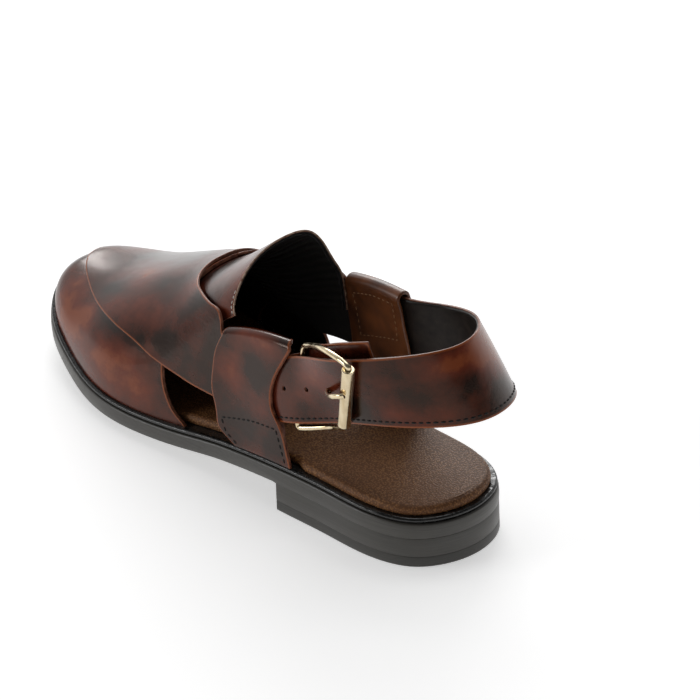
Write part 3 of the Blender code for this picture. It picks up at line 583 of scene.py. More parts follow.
def last_normal(along, around):
    """The outward direction of the last."""
    low = np.clip(np.asarray(around, float) - 0.1, 0.0, 179.8)
    ahead = last_point(along + 0.0001, around) - last_point(along - 0.0001, around)
    aside = last_point(along, low + 0.2) - last_point(along, low)
    out = np.cross(aside, ahead)
    return out / (np.linalg.norm(out, axis=-1, keepdims=True) + 1e-12)


def on_last(along, around, depth):
    """A point at a depth outside the last."""
    depth = np.asarray(depth, float)[..., None] if np.ndim(depth) else depth
    return last_point(along, around) + last_normal(along, around) * depth


def steady_curve(knots, values):
    """A smooth function through the values that never swings past them."""
    x = np.asarray(knots, float)
    y = np.asarray(values, float)
    h = np.diff(x)
    rise = np.diff(y) / h
    slope = np.zeros(len(x))
    slope[0], slope[-1] = rise[0], rise[-1]
    for i in range(1, len(x) - 1):
        if rise[i - 1] * rise[i] > 0:
            slope[i] = 2 * rise[i - 1] * rise[i] / (rise[i - 1] + rise[i])

    def value(at):
        at = np.asarray(at, float)
        i = np.clip(np.searchsorted(x, at) - 1, 0, len(x) - 2)
        t = (at - x[i]) / h[i]
        start = (1 + 2 * t) * (1 - t) ** 2 * y[i] + t * (1 - t) ** 2 * h[i] * slope[i]
        end = t * t * (3 - 2 * t) * y[i + 1] - t * t * (1 - t) * h[i] * slope[i + 1]
        return start + end

    return value


def edge_reach(angles, alongs):
    """Running length of a line on the last, with a third of the ball's width as its radius."""
    return running(np.hypot(np.diff(np.radians(angles)) * BALL_WIDTH / 3, np.diff(alongs)))


def edge_line(rows, count):
    """Even places along a panel edge: distances from the heel and angles round the last."""
    angles, alongs = np.array(rows).T * [[1.0], [SOLE_LENGTH]]
    reach = edge_reach(angles, alongs)
    even = np.linspace(0.0, reach[-1], count)
    return steady_curve(reach, alongs)(even), steady_curve(reach, angles)(even)


def edge_paint(points):
    """How far each point of a grid lies from the grid's own edges, in metres."""
    right, up = np.zeros(points.shape[:2]), np.zeros(points.shape[:2])
    right[:, 1:] = np.cumsum(np.linalg.norm(np.diff(points, axis=1), axis=2), axis=1)
    up[1:] = np.cumsum(np.linalg.norm(np.diff(points, axis=0), axis=2), axis=0)
    return {"left": right, "right": right[:, -1:] - right, "low": up, "high": up[-1:] - up}


def spots(points, table):
    """Listed patches of burnish and of painted sheen and painted shade: a place, a reach in metres and a
    strength for each.
    """
    burnish_and_painted_light = np.zeros(points.shape[:2])
    for place, reach, strength in table:
        away = np.linalg.norm((points - np.array(place)) / np.array(reach), axis=2)
        burnish_and_painted_light += strength * np.exp(-away ** 2)
    return burnish_and_painted_light


def burnished(name, deep, red, glow, gloss=0.17):
    """Polished upper leather: dark dye rubbed back to red-brown, lifted or darkened in listed patches that
    are partly real burnish and partly painted sheen and painted shade, and tan along its cut edges.
    """
    material, tree, shader = nodes_of(name)
    burnish_and_painted_light = tree.nodes.new("ShaderNodeAttribute")
    burnish_and_painted_light.attribute_name = "burnish_and_painted_light"
    near = tree.nodes.new("ShaderNodeAttribute")
    near.attribute_name = "edge"
    clouds = texture(tree, "ShaderNodeTexNoise", 38.0, detail=3, roughness=0.55)
    wisps = texture(tree, "ShaderNodeTexNoise", 90.0, (1.0, 0.35, 1.0), detail=5, roughness=0.6)
    flecks = texture(tree, "ShaderNodeTexNoise", 700.0, detail=3)
    cloud = weigh(tree, 0.0, (clouds.outputs["Fac"], 0.65), (wisps.outputs["Fac"], 0.35))
    # The spot attribute lifts or darkens the colour in listed patches: partly real burnish, partly painted
    # sheen and painted shade.
    rub_and_painted_light = weigh(tree, -1.12, (cloud, 2.6), (burnish_and_painted_light.outputs["Fac"], 1.0), (flecks.outputs["Fac"], 0.16))
    middle = tuple((a + b) / 2 for a, b in zip(deep, red))
    warm_red = tuple(a * 0.62 + b * 0.38 for a, b in zip(red, glow))
    colour = ramp(tree, rub_and_painted_light, ((0.05, deep), (0.42, middle), (0.78, red), (1.0, warm_red)))
    ragged = calc(tree, "MULTIPLY", near.outputs["Fac"], calc(tree, "ADD", 0.55, cloud))
    colour = blend(tree, between(tree, ragged, 0.0002, 0.0014, 0.80, 0.0), colour, glow)
    link(tree, colour, shader.inputs["Base Color"])
    link(tree, between(tree, cloud, 0.3, 0.75, gloss, gloss + 0.10), shader.inputs["Roughness"])
    pores = texture(tree, "ShaderNodeTexNoise", 1500.0, detail=3)
    creases = texture(tree, "ShaderNodeTexNoise", 160.0, (1.0, 0.25, 1.0), detail=4)
    height = weigh(tree, creases.outputs["Fac"], (pores.outputs["Fac"], 0.4))
    bump(tree, shader, height, 0.00012)
    shader.inputs["Coat Weight"].default_value = 0.08
    shader.inputs["Coat Roughness"].default_value = 0.06
    shader.inputs["Specular IOR Level"].default_value = 0.34
    shader.inputs["Specular Tint"].default_value = (1.0, 0.70, 0.56, 1.0)
    return material


def plain_leather(name, dark, pale, rough, scale=300.0, depth=0.00008, detail=5):
    """Leather with a plain finish, such as a lining or a cut edge. Thread is made of it too."""
    material, tree, shader = nodes_of(name)
    mottle = texture(tree, "ShaderNodeTexNoise", scale, detail=detail)
    link(tree, ramp(tree, mottle.outputs["Fac"], ((0.30, dark), (0.70, pale))), shader.inputs["Base Color"])
    shader.inputs["Roughness"].default_value = rough
    bump(tree, shader, mottle.outputs["Fac"], depth)
    return material


DEEP_BROWN = (0.0078, 0.0026, 0.0018)
RED_BROWN = (0.120, 0.0190, 0.0066)
GLOWING_BROWN = (0.330, 0.0820, 0.0220)
polished = burnished("burnished_upper_leather", DEEP_BROWN, RED_BROWN, GLOWING_BROWN)
cut_edge = plain_leather("cut_leather_edge", (0.090, 0.026, 0.012), (0.330, 0.130, 0.075), 0.45)
black_lining = plain_leather("black_lining_leather", (0.004, 0.004, 0.004), (0.014, 0.013, 0.012), 0.62)


def wall(item, thickness, soft=0.00045):
    """Give a sheet its thickness, a lining face, a cut edge and softened corners."""
    solid = item.modifiers.new("wall", "SOLIDIFY")
    solid.thickness = thickness
    solid.offset = -1.0
    solid.use_quality_normals = True
    solid.material_offset = 1
    solid.material_offset_rim = 2
    if soft:
        corner = item.modifiers.new("soft_corner", "BEVEL")
        corner.width = soft
        corner.segments = 3
        corner.limit_method = "ANGLE"
        corner.angle_limit = math.radians(50)
        corner.harden_normals = False
        corner.use_clamp_overlap = True
    return item


def turned_out(shape, centre):
    """Point an open sheet's faces away from a place inside the shoe."""
    shape.faces.ensure_lookup_table()
    shape.normal_update()
    face = shape.faces[len(shape.faces) // 2]
    if face.normal.dot(face.calc_center_median() - Vector(centre)) < 0:
        bmesh.ops.reverse_faces(shape, faces=shape.faces)


def panel(name, along, around, depth, thickness, table, edges=("low", "high"), soft=0.00045):
    """A leather panel on the last, from a grid of places, with patches of burnish and of painted sheen and
    shade, and tan cut edges.
    """
    points = on_last(along, around, depth)
    sides = edge_paint(points)
    near = np.min([sides[side] for side in edges], axis=0)
    paint = {"edge": near, "burnish_and_painted_light": spots(points, table)}
    shape = grid_shape(points, paint)
    bmesh.ops.remove_doubles(shape, verts=shape.verts, dist=SAME_PLACE)
    turned_out(shape, INSIDE)
    item = settle(shape, name, closed=False)
    return wall(dress(item, polished, black_lining, cut_edge), thickness, soft)


def ruled(first, second, columns, rows):
    """Places between two edges of a panel, as grids of distances and angles."""
    along_a, angle_a = edge_line(first, columns)
    along_b, angle_b = edge_line(second, columns)
    share = np.linspace(0.0, 1.0, rows)[:, None]
    return along_a * (1 - share) + along_b * share, angle_a * (1 - share) + angle_b * share


LEATHER = 0.0016
INSIDE = (0.0, 0.13, 0.03)
TOE_REAR = (
    (0.0, 0.524), (5.0, 0.549), (10.0, 0.562), (16.0, 0.573), (23.0, 0.581), (50.0, 0.604),
    (66.0, 0.619), (80.0, 0.624), (92.0, 0.620), (125.0, 0.632), (159.6, 0.646), (163.5, 0.668),
    (168.0, 0.690), (174.0, 0.710), (180.0, 0.722),
)
along, around = edge_line(TOE_REAR, 170)
share = np.sin(np.linspace(0.0, 1.0, 90)[:, None] * math.pi / 2) ** 1.2
toe_along = along * (1 - share) + (LAST_TIP - 0.00002) * share
toe_around = around * (1 - share) + np.linspace(0.0, 180.0, 170) * share
# Toe band patches, lighter and darker: partly real burnish, partly painted sheen and painted shade.
TOE_SPOTS = (
    ((-0.040, 0.205, 0.030), (0.016, 0.030, 0.014), 0.55),
    ((-0.047, 0.165, 0.028), (0.016, 0.022, 0.014), 0.50),
    ((-0.028, 0.234, 0.030), (0.014, 0.014, 0.012), 0.40),
    ((-0.036, 0.186, 0.046), (0.010, 0.034, 0.008), -0.45),
    ((-0.046, 0.136, 0.040), (0.012, 0.012, 0.012), -0.25),
)
toe_band = panel("toe_band", toe_along, toe_around, LEATHER, LEATHER, TOE_SPOTS, ("low",))
fasten(toe_band, "burnished_brown", "upper")
BAND_TOP = (
    (92.0, 0.620), (100.0, 0.608), (109.0, 0.589), (118.0, 0.569), (126.0, 0.546), (132.5, 0.512),
    (136.5, 0.470), (139.0, 0.434), (141.5, 0.416), (144.6, 0.404), (145.4, 0.382),
)
BAND_LOW = (
    (159.6, 0.648), (164.0, 0.620), (165.0, 0.560), (167.3, 0.506), (167.5, 0.460), (168.0, 0.420),
    (168.3, 0.400), (168.6, 0.382),
)
inner_along, inner_around = ruled(BAND_TOP, BAND_LOW, 90, 40)
# Inner band patch, lighter: partly real burnish, partly painted sheen.
BAND_SPOTS = (((0.035, 0.110, 0.050), (0.020, 0.020, 0.020), 0.45),)
inner_band = panel("inner_band_strap", inner_along, inner_around, LEATHER, LEATHER, BAND_SPOTS)
fasten(inner_band, "burnished_brown")

# Cap panel: the upper crossed panel, laid over the toe band. It covers the top of the foot and the
# inner side, and its outer end runs down as a strap into the outer side strap.
CAP_LEATHER = 0.0015
CAP_DEPTH = LEATHER + CAP_LEATHER
CAP_FRONT = (
    (9.4, 0.400), (11.0, 0.440), (15.0, 0.499), (20.0, 0.547), (26.0, 0.601), (33.0, 0.661),
    (39.0, 0.733), (45.0, 0.797), (54.0, 0.864), (70.0, 0.935), (84.0, 0.958), (110.0, 0.968),
    (180.0, 0.970),
)
CAP_REAR = (
    (31.4, 0.400), (31.8, 0.436), (33.0, 0.456), (38.5, 0.468), (43.0, 0.482), (48.0, 0.514),
    (56.0, 0.557), (63.0, 0.590), (72.0, 0.618), (84.0, 0.632), (100.0, 0.632), (115.0, 0.622),
    (130.0, 0.606), (150.0, 0.580), (158.0, 0.556), (164.0, 0.530), (169.5, 0.507), (175.0, 0.494),
    (180.0, 0.486),
)
cap_along, cap_around = ruled(CAP_FRONT, CAP_REAR, 200, 80)
# Cap panel patches, lighter and darker: partly real burnish, partly painted sheen and painted shade.
CAP_SPOTS = (
    ((-0.031, 0.168, 0.053), (0.010, 0.018, 0.010), 0.45),
    ((-0.035, 0.192, 0.045), (0.010, 0.014, 0.008), 0.40),
    ((-0.013, 0.186, 0.056), (0.010, 0.022, 0.006), 0.50),
    ((-0.015, 0.142, 0.078), (0.012, 0.014, 0.008), 0.45),
    ((-0.034, 0.124, 0.064), (0.006, 0.008, 0.020), 0.35),
    ((-0.039, 0.138, 0.050), (0.006, 0.009, 0.008), -0.55),
    ((-0.026, 0.204, 0.050), (0.008, 0.016, 0.006), -0.45),
    ((-0.024, 0.128, 0.082), (0.008, 0.010, 0.012), -0.40),
    ((-0.020, 0.160, 0.066), (0.008, 0.014, 0.006), -0.35),
    ((-0.040, 0.104, 0.060), (0.008, 0.010, 0.024), -0.35),
)
cap_panel = panel("cap_panel", cap_along, cap_around, CAP_DEPTH, CAP_LEATHER, CAP_SPOTS, soft=0.0005)
fasten(cap_panel, "burnished_brown")

# Tongue: the throat piece that rises to the collar under the crossed panels. Brown leather
# outside, ribbed black lining inside, with pale piping along its edge.
TONGUE_LEATHER = 0.0009
LINING_LEATHER = 0.0007
COLLAR_EDGE = (
    (40.0, 0.452), (44.0, 0.462), (55.0, 0.471), (68.0, 0.476), (80.0, 0.472), (90.0, 0.458),
    (97.0, 0.446), (106.0, 0.439), (118.5, 0.434), (128.0, 0.430), (133.5, 0.424), (137.5, 0.416),
    (141.0, 0.412), (148.0, 0.413), (156.0, 0.415),
)
TONGUE_FRONT = (
    (29.0, 0.675), (90.0, 0.700), (157.0, 0.675),
)
tongue_along, tongue_around = ruled(COLLAR_EDGE, TONGUE_FRONT, 110, 60)
# Tongue patches, lighter and darker: partly real burnish, partly painted sheen and painted shade.
TONGUE_SPOTS = (
    ((-0.018, 0.106, 0.096), (0.010, 0.010, 0.014), 0.45),
    ((-0.028, 0.108, 0.078), (0.008, 0.008, 0.012), 0.30),
    ((-0.012, 0.096, 0.112), (0.010, 0.010, 0.006), -0.40),
)
tongue = panel("tongue_leather", tongue_along, tongue_around, -GAP, TONGUE_LEATHER, TONGUE_SPOTS,
               ("low",), 0.0004)
fasten(tongue, "burnished_brown", "tongue")


def tube(name, path, widths, closed=False, around=16, flat=None):
    """A rod swept along a path, from a circle that is extruded from place to place."""
    path = np.asarray(path, float)
    count = len(path)
    shape = bmesh.new()
    ahead = np.roll(path, -1, axis=0) - np.roll(path, 1, axis=0)
    if not closed:
        ahead[0] = path[1] - path[0]
        ahead[-1] = path[-1] - path[-2]
    ahead /= np.linalg.norm(ahead, axis=1, keepdims=True)
    side = np.cross(ahead[0], flat if flat is not None else (0.3, 0.2, 1.0))
    rows = []
    for i in range(count):
        side = side - ahead[i] * np.dot(side, ahead[i])
        side /= np.linalg.norm(side)
        up = np.cross(side, ahead[i])
        wide, thick = widths[i] if np.ndim(widths[0]) else (widths[i], widths[i])
        turn = np.linspace(0, 2 * math.pi, around + 1)
        rows.append([path[i] + side * wide * math.cos(t) + up * thick * math.sin(t) for t in turn])
    if closed:
        rows.append(rows[0])
    shape = grid_shape(rows)
    bmesh.ops.remove_doubles(shape, verts=shape.verts, dist=SAME_PLACE)
    if not closed:
        bmesh.ops.holes_fill(shape, edges=[e for e in shape.edges if e.is_boundary], sides=around + 1)
    return settle(shape, name)


piping_along, piping_around = edge_line(COLLAR_EDGE, 160)
piping_path = on_last(piping_along, piping_around, -GAP - 0.0001)
piping = tube("collar_piping", piping_path, [0.0004] * len(piping_path), around=8)
pale_piping = plain_leather("pale_piping", (0.180, 0.080, 0.045), (0.620, 0.480, 0.360), 0.5, 500.0)
dress(piping, pale_piping)
fasten(piping, "raw_leather")


def ribbed_lining():
    """Black throat lining with fine ribs that run down from the collar."""
    material, tree, shader = nodes_of("ribbed_black_lining")
    ribs = texture(tree, "ShaderNodeTexWave", 9.0, detail=2.0, coords="UV", distortion=1.2)
    link(tree, ramp(tree, ribs.outputs["Fac"], ((0.2, (0.004, 0.004, 0.004)), (0.9, (0.016, 0.015, 0.014)))),
         shader.inputs["Base Color"])
    shader.inputs["Roughness"].default_value = 0.55
    bump(tree, shader, ribs.outputs["Fac"], 0.0003)
    return material


lining_along, lining_around = ruled(
    tuple((angle, share + 0.004) for angle, share in COLLAR_EDGE), TONGUE_FRONT, 90, 40)
lining_points = on_last(lining_along, lining_around, -GAP - TONGUE_LEATHER - 0.0001)
lining_shape = grid_shape(lining_points)
turned_out(lining_shape, INSIDE)
lining = settle(lining_shape, "tongue_lining", closed=False)
wall(dress(lining, black_lining, ribbed_lining(), black_lining), LINING_LEATHER, 0.00025)
fasten(lining, "black_lining")

# Side straps: one on each side, folded over at the top. Both ends go down beside the footbed
# and are sewn together there, and the strap round the heel runs between the two walls.
SIDE_LEATHER = 0.0018
SIDE_OUTER = 0.0057
SIDE_INNER = -0.0021
SIDE_CLOSED = 0.0018
FOOT_CLOSES = (1.0, 7.0)
OUTER_SIDE = {
    "top": 33.0,
    "cut_back": 0.022,
    "front": ((0.0, 0.404), (3.0, 0.435), (8.0, 0.446), (15.0, 0.457), (22.0, 0.459), (29.0, 0.457),
              (33.0, 0.449)),
    "rear": ((0.0, 0.276), (4.0, 0.284), (9.0, 0.296), (13.0, 0.314), (17.0, 0.320), (23.0, 0.314),
             (29.0, 0.298), (33.0, 0.288)),
}
INNER_SIDE = {
    "top": 36.0,
    "cut_back": 0.0,
    "front": ((0.0, 0.398), (8.0, 0.402), (14.0, 0.404), (19.0, 0.405), (25.0, 0.406), (33.0, 0.402),
              (36.0, 0.401)),
    "rear": ((0.0, 0.262), (8.0, 0.256), (17.0, 0.256), (21.0, 0.258), (26.0, 0.262), (33.0, 0.262),
             (36.0, 0.264)),
}


def eased(value, start, end):
    """A share that goes smoothly from 0 to 1 between two values."""
    share = np.clip((np.asarray(value, float) - start) / (end - start), 0.0, 1.0)
    return share * share * (3 - 2 * share)


def side_place(side, angle, share, inside=0.0):
    """Distances and angles on a side strap, at a share from its rear edge to its front edge."""
    front = natural_spline(*zip(*side["front"]))
    rear = natural_spline(*zip(*side["rear"]))
    behind = rear(angle) + side["cut_back"] * inside
    along = SOLE_LENGTH * (behind * (1 - share) + front(angle) * share)
    return along, (180.0 - angle if side is INNER_SIDE else angle) + 0 * along


def side_strap_points(side, across=40, climb=44, turns=16):
    """The outer face of a side strap, up the outside, over the fold and down the inside."""
    share = np.linspace(0.0, 1.0, across)
    top_angle = side["top"]
    rows = []
    for angle in np.linspace(0.0, top_angle, climb):
        along, around = side_place(side, angle, share)
        rows.append(on_last(along, around, SIDE_OUTER))
    radius = (SIDE_OUTER - SIDE_INNER) / 2
    step = -1.0 if side is INNER_SIDE else 1.0
    for turn in np.linspace(0.0, math.pi, turns)[1:-1]:
        along, around = side_place(side, top_angle, share, turn / math.pi)
        top = on_last(along, around, (SIDE_OUTER + SIDE_INNER) / 2)
        up = last_point(along, around + step) - last_point(along, around)
        up /= np.linalg.norm(up, axis=-1, keepdims=True)
        rows.append(top + radius * (last_normal(along, around) * math.cos(turn) + up * math.sin(turn)))
    for angle in np.linspace(top_angle, 0.0, climb):
        along, around = side_place(side, angle, share, 1.0)
        apart = eased(angle, *FOOT_CLOSES)
        rows.append(on_last(along, around, SIDE_INNER * apart + SIDE_CLOSED * (1 - apart)))
    return np.array(rows)


TAN_FROM_ROW = 46                # the fold is made of rows 44 to 57
tan_glaze = plain_leather("tan_glazed_leather", (0.060, 0.0170, 0.0050), (0.230, 0.070, 0.0170), 0.34, 60.0)
side_lining = plain_leather("side_strap_flesh", (0.050, 0.018, 0.010), (0.110, 0.045, 0.026), 0.60)
# Outer side strap patches, lighter and darker: partly real burnish, partly painted sheen and painted shade.
SIDE_SPOTS = (
    ((-0.036, 0.068, 0.080), (0.014, 0.016, 0.006), 0.75),
    ((-0.038, 0.086, 0.066), (0.010, 0.008, 0.020), 0.45),
    ((-0.041, 0.072, 0.048), (0.010, 0.016, 0.008), 0.45),
    ((-0.038, 0.070, 0.064), (0.010, 0.010, 0.010), -0.50),
    ((-0.039, 0.055, 0.060), (0.010, 0.006, 0.020), -0.35),
    ((-0.042, 0.070, 0.034), (0.012, 0.030, 0.006), -0.20),
)


def side_strap(name, side, table):
    """One folded side strap. Its inner wall shows the glazed tan lining inside the shoe."""
    points = side_strap_points(side)
    sides = edge_paint(points)
    paint = {"edge": np.minimum(sides["left"], sides["right"]), "burnish_and_painted_light": spots(points, table)}
    shape = grid_shape(points, paint)
    shape.faces.ensure_lookup_table()
    shape.normal_update()
    if shape.faces[0].normal.x * (1.0 if side is INNER_SIDE else -1.0) < 0:
        bmesh.ops.reverse_faces(shape, faces=shape.faces)
    if side is INNER_SIDE:
        for face in shape.faces:
            row = min(vertex.index for vertex in face.verts) // points.shape[1]
            if row >= TAN_FROM_ROW:
                face.material_index = 3
    item = settle(shape, name, closed=False)
    return wall(dress(item, polished, side_lining, cut_edge, tan_glaze), SIDE_LEATHER, 0.0005)


outer_strap = side_strap("outer_side_strap", OUTER_SIDE, SIDE_SPOTS)
fasten(outer_strap, "burnished_brown", "side_strap_outer")
inner_strap = side_strap("inner_side_strap", INNER_SIDE, ())
fasten(inner_strap, "burnished_brown", "side_strap_inner")


def stitches(name, places, ways, outs, length, width, material):
    """A row of thread stitches, each a short rounded pad sunk into the leather."""
    shape = bmesh.new()
    for place, way, out in zip(places, ways, outs):
        side = np.cross(out, way)
        turn = Matrix([[way[i], side[i], out[i], place[i]] for i in range(3)] + [[0, 0, 0, 1]])
        size = Matrix.Diagonal((length / 2, width / 2, width * 0.38, 1.0))
        bmesh.ops.create_uvsphere(shape, u_segments=8, v_segments=6, radius=1.0, matrix=turn @ size)
    return dress(settle(shape, name), material)


def row_of_stitches(line, spacing):
    """Places and ways at an even spacing along a line of points."""
    line = np.asarray(line, float)
    reach = running(np.linalg.norm(np.diff(line, axis=0), axis=1))
    count = max(2, int(reach[-1] / spacing))
    at = (np.arange(count) + 0.5) * reach[-1] / count
    places = np.stack([np.interp(at, reach, line[:, i]) for i in range(3)], -1)
    ahead = np.stack([np.interp(at + 0.0004, reach, line[:, i]) for i in range(3)], -1)
    behind = np.stack([np.interp(at - 0.0004, reach, line[:, i]) for i in range(3)], -1)
    ways = ahead - behind
    return places, ways / np.linalg.norm(ways, axis=1, keepdims=True)


def thread(name, colour, rough=0.6):
    """Waxed sewing thread, darker in its twist."""
    dark = tuple(part * 0.55 for part in colour)
    return plain_leather(name, dark, colour, rough, 1800.0, 0.0001, 2)


black_thread = thread("black_thread", (0.007, 0.005, 0.004), 0.8)
tan_thread = thread("tan_thread", (0.420, 0.230, 0.110))
white_thread = thread("white_thread", (0.780, 0.740, 0.680))
STITCH_LENGTH = 0.0025
STITCH_WIDTH = 0.0010
STITCH_SPACING = 0.0033


def sew(name, lines, spacing, material, length=STITCH_LENGTH, width=STITCH_WIDTH):
    """Stitches along several lines, each given as points and outward ways."""
    places, ways, outs = [], [], []
    for line, out in lines:
        at, way = row_of_stitches(line, spacing)
        near = [int(np.argmin(np.linalg.norm(line - p, axis=1))) for p in at]
        places.extend(at)
        ways.extend(way)
        outs.extend(out[near])
    return stitches(name, places, ways, outs, length, width, material)


def last_line(places, depth, inward=False):
    """A fine line on the last through a few places (angle, share), with its outward ways."""
    angles, alongs = np.array(places).T * [[1.0], [SOLE_LENGTH]]
    reach = edge_reach(angles, alongs)
    even = np.linspace(0.0, reach[-1], 240)
    along = np.interp(even, reach, alongs)
    around = np.interp(even, reach, angles)
    return on_last(along, around, depth), last_normal(along, around) * (-1.0 if inward else 1.0)


OUTER_BOX = ((7.0, 0.434), (8.2, 0.366), (8.4, 0.306), (0.5, 0.287))
OUTER_BOX_FRONT = ((7.0, 0.434), (3.0, 0.424), (0.5, 0.398))
INNER_BOX = ((147.5, 0.384), (146.0, 0.332), (146.0, 0.280), (159.5, 0.280), (161.5, 0.330), (163.0, 0.376),
             (147.5, 0.384))
INNER_FOOT = ((179.5, 0.380), (171.0, 0.385), (171.0, 0.275), (179.5, 0.280))
foot_threads = sew(
    "side_strap_stitches",
    [last_line(places, SIDE_OUTER) for places in (OUTER_BOX, OUTER_BOX_FRONT, INNER_FOOT)],
    STITCH_SPACING, black_thread)
fasten(foot_threads, "black_edge")
collar_threads = sew(
    "collar_stitches",
    [last_line(((40.5, 0.4575), (44.5, 0.4680), (52.0, 0.4735)), -0.0002),
     last_line(((124.0, 0.4350), (133.5, 0.4270), (141.0, 0.4155)), -0.0002)],
    0.0021, white_thread, 0.0016, 0.0007)
fasten(collar_threads, "raw_leather")
lining_threads = sew(
    "inner_strap_lining_stitches", [last_line(INNER_BOX, SIDE_INNER, inward=True)],
    STITCH_SPACING, tan_thread, 0.0019, 0.0006)
fasten(lining_threads, "raw_leather")

# Heel strap: brown leather lined with charcoal leather, sewn along its lower edge and punched for
# the buckle. It passes through both side straps.
STRAP_WIDTH = 0.038
STRAP_BACK_HEIGHT = 0.1055
STRAP_MIDDLE = 0.0027
STRAP_SKIN = 0.0011
STRAP_LINING = 0.0008
STRAP_CUP = 0.0003
SKIN_DEPTH = 0.0010
LINING_DEPTH = -0.00012
HALF_STRAP = 0.0009
OUTER_END_ROWS = (
    (0.375, 26.6, 7.9),
    (0.310, 29.7, 10.1),
    (0.277, 31.7, 11.4),
)
INNER_END_ROWS = (
    (0.362, 33.0, 9.0),
    (0.310, 35.0, 10.5),
    (0.257, 36.2, 12.0),
)
HEEL_STRAP_ROWS = (
    (-0.340, 0.205, 0.870, 0.965, 0.147, 0.03),
    (-0.270, 0.108, 0.965, 0.96, 0.160, -0.13),
    (0.041, 0.038, 0.999, 1.00, 0.130, -0.34),
    (0.325, 0.105, 0.940, 1.00, 0.230, -0.38),
    (0.368, 0.208, 0.869, 0.97, 0.090, -0.24),
)


def strap_edges():
    """Rows of the heel strap's top and low edges, from the outer side round to the inner side."""
    top, low = [], []
    for share, high, under in OUTER_END_ROWS:
        top.append(on_last(share * SOLE_LENGTH, high, STRAP_MIDDLE))
        low.append(on_last(share * SOLE_LENGTH, under, STRAP_MIDDLE))
    for across, along, height, width, lean_in, lean_back in HEEL_STRAP_ROWS:
        edge = np.array([across * BALL_WIDTH, along * SOLE_LENGTH - HEEL_CENTRE, height * STRAP_BACK_HEIGHT])
        drop = np.array([lean_in, lean_back, -math.sqrt(1 - lean_in ** 2 - lean_back ** 2)])
        top.append(edge)
        low.append(edge + drop * STRAP_WIDTH * width)
    for share, high, under in reversed(INNER_END_ROWS):
        top.append(on_last(share * SOLE_LENGTH, 180.0 - high, STRAP_MIDDLE))
        low.append(on_last(share * SOLE_LENGTH, 180.0 - under, STRAP_MIDDLE))
    return np.array(top), np.array(low)


strap_top, strap_low = strap_edges()
strap_reach = running(np.linalg.norm(np.diff((strap_top + strap_low) / 2, axis=0), axis=1))
strap_length = strap_reach[-1]
top_parts = [natural_spline(strap_reach, strap_top[:, i]) for i in range(3)]
low_parts = [natural_spline(strap_reach, strap_low[:, i]) for i in range(3)]


def strap_surface(share, down):
    """The middle of the strap's thickness: share of its length, share of its width from the top."""
    at = np.asarray(share, float) * strap_length
    down = np.asarray(down, float)[..., None]
    top = np.stack([part(at) for part in top_parts], -1)
    low = np.stack([part(at) for part in low_parts], -1)
    return top * (1 - down) + low * down


def strap_out(share, down):
    """The strap's outward direction."""
    ahead = strap_surface(share + 0.002, down) - strap_surface(share - 0.002, down)
    aside = strap_surface(share, down + 0.002) - strap_surface(share, down - 0.002)
    out = np.cross(aside, ahead)
    return out / np.linalg.norm(out, axis=-1, keepdims=True)


def on_strap(share, down, depth):
    """A place at a depth outside the strap's middle."""
    share = np.asarray(share, float) + 0 * np.asarray(down, float)
    down = np.asarray(down, float) + 0 * share
    cup = STRAP_CUP * 4 * np.clip(down, 0, 1) * (1 - np.clip(down, 0, 1))
    depth = (np.asarray(depth, float) + cup)[..., None]
    return strap_surface(share, down) + strap_out(share, down) * depth


def fine_steps(count, middles, reach, steps=13):
    """Even shares, with closer ones on both sides of each middle."""
    even = [share for share in np.linspace(0.0, 1.0, count) if all(abs(share - m) > reach for m in middles)]
    close = [m + step for m in middles for step in np.linspace(-reach, reach, steps)]
    return np.array(sorted(even + close))


def punch(shape, centre, radius):
    """Take out the faces inside a round hole and draw its rim to a circle."""
    centre = Vector(centre)
    inside = [face for face in shape.faces if (face.calc_center_median() - centre).length < radius]
    bmesh.ops.delete(shape, geom=inside, context="FACES")
    for vertex in {v for edge in shape.edges if edge.is_boundary for v in edge.verts}:
        away = vertex.co - centre
        if away.length < radius * 2:
            vertex.co = centre + away.normalized() * radius


def strap_sheet(name, shares, downs, depth, thickness, materials, table, soft, holes):
    """A layer of the heel strap, punched where it has holes."""
    share, down = np.meshgrid(shares, downs)
    points = on_strap(share, down, depth)
    sides = edge_paint(points)
    paint = {"edge": np.minimum(sides["low"], sides["high"]), "burnish_and_painted_light": spots(points, table)}
    shape = grid_shape(points, paint)
    turned_out(shape, HEEL_INSIDE)
    for place, radius in holes:
        punch(shape, on_strap(place, PRONG_DOWN, depth), radius)
    item = settle(shape, name, closed=False)
    return wall(dress(item, *materials), thickness, soft)


ROLLER_FROM_LOOP = 0.0525
FIRST_HOLE = 0.0152
HOLE_PITCH = 0.016
PRONG_DOWN = 0.485
HOLE_REACH = 0.0026
HEEL_INSIDE = (0.0, 0.03, 0.08)
mouth_share = SOLE_LENGTH * (OUTER_END_ROWS[0][0] - OUTER_END_ROWS[1][0]) / strap_length
roller_share = mouth_share + ROLLER_FROM_LOOP / strap_length
hole_shares = [roller_share - (FIRST_HOLE + i * HOLE_PITCH) / strap_length for i in range(3)]
strap_holes = list(zip(hole_shares, (0.0016, 0.0012, 0.0012)))
charcoal = plain_leather("charcoal_strap_lining", (0.007, 0.005, 0.004), (0.026, 0.019, 0.015), 0.48, 240.0)
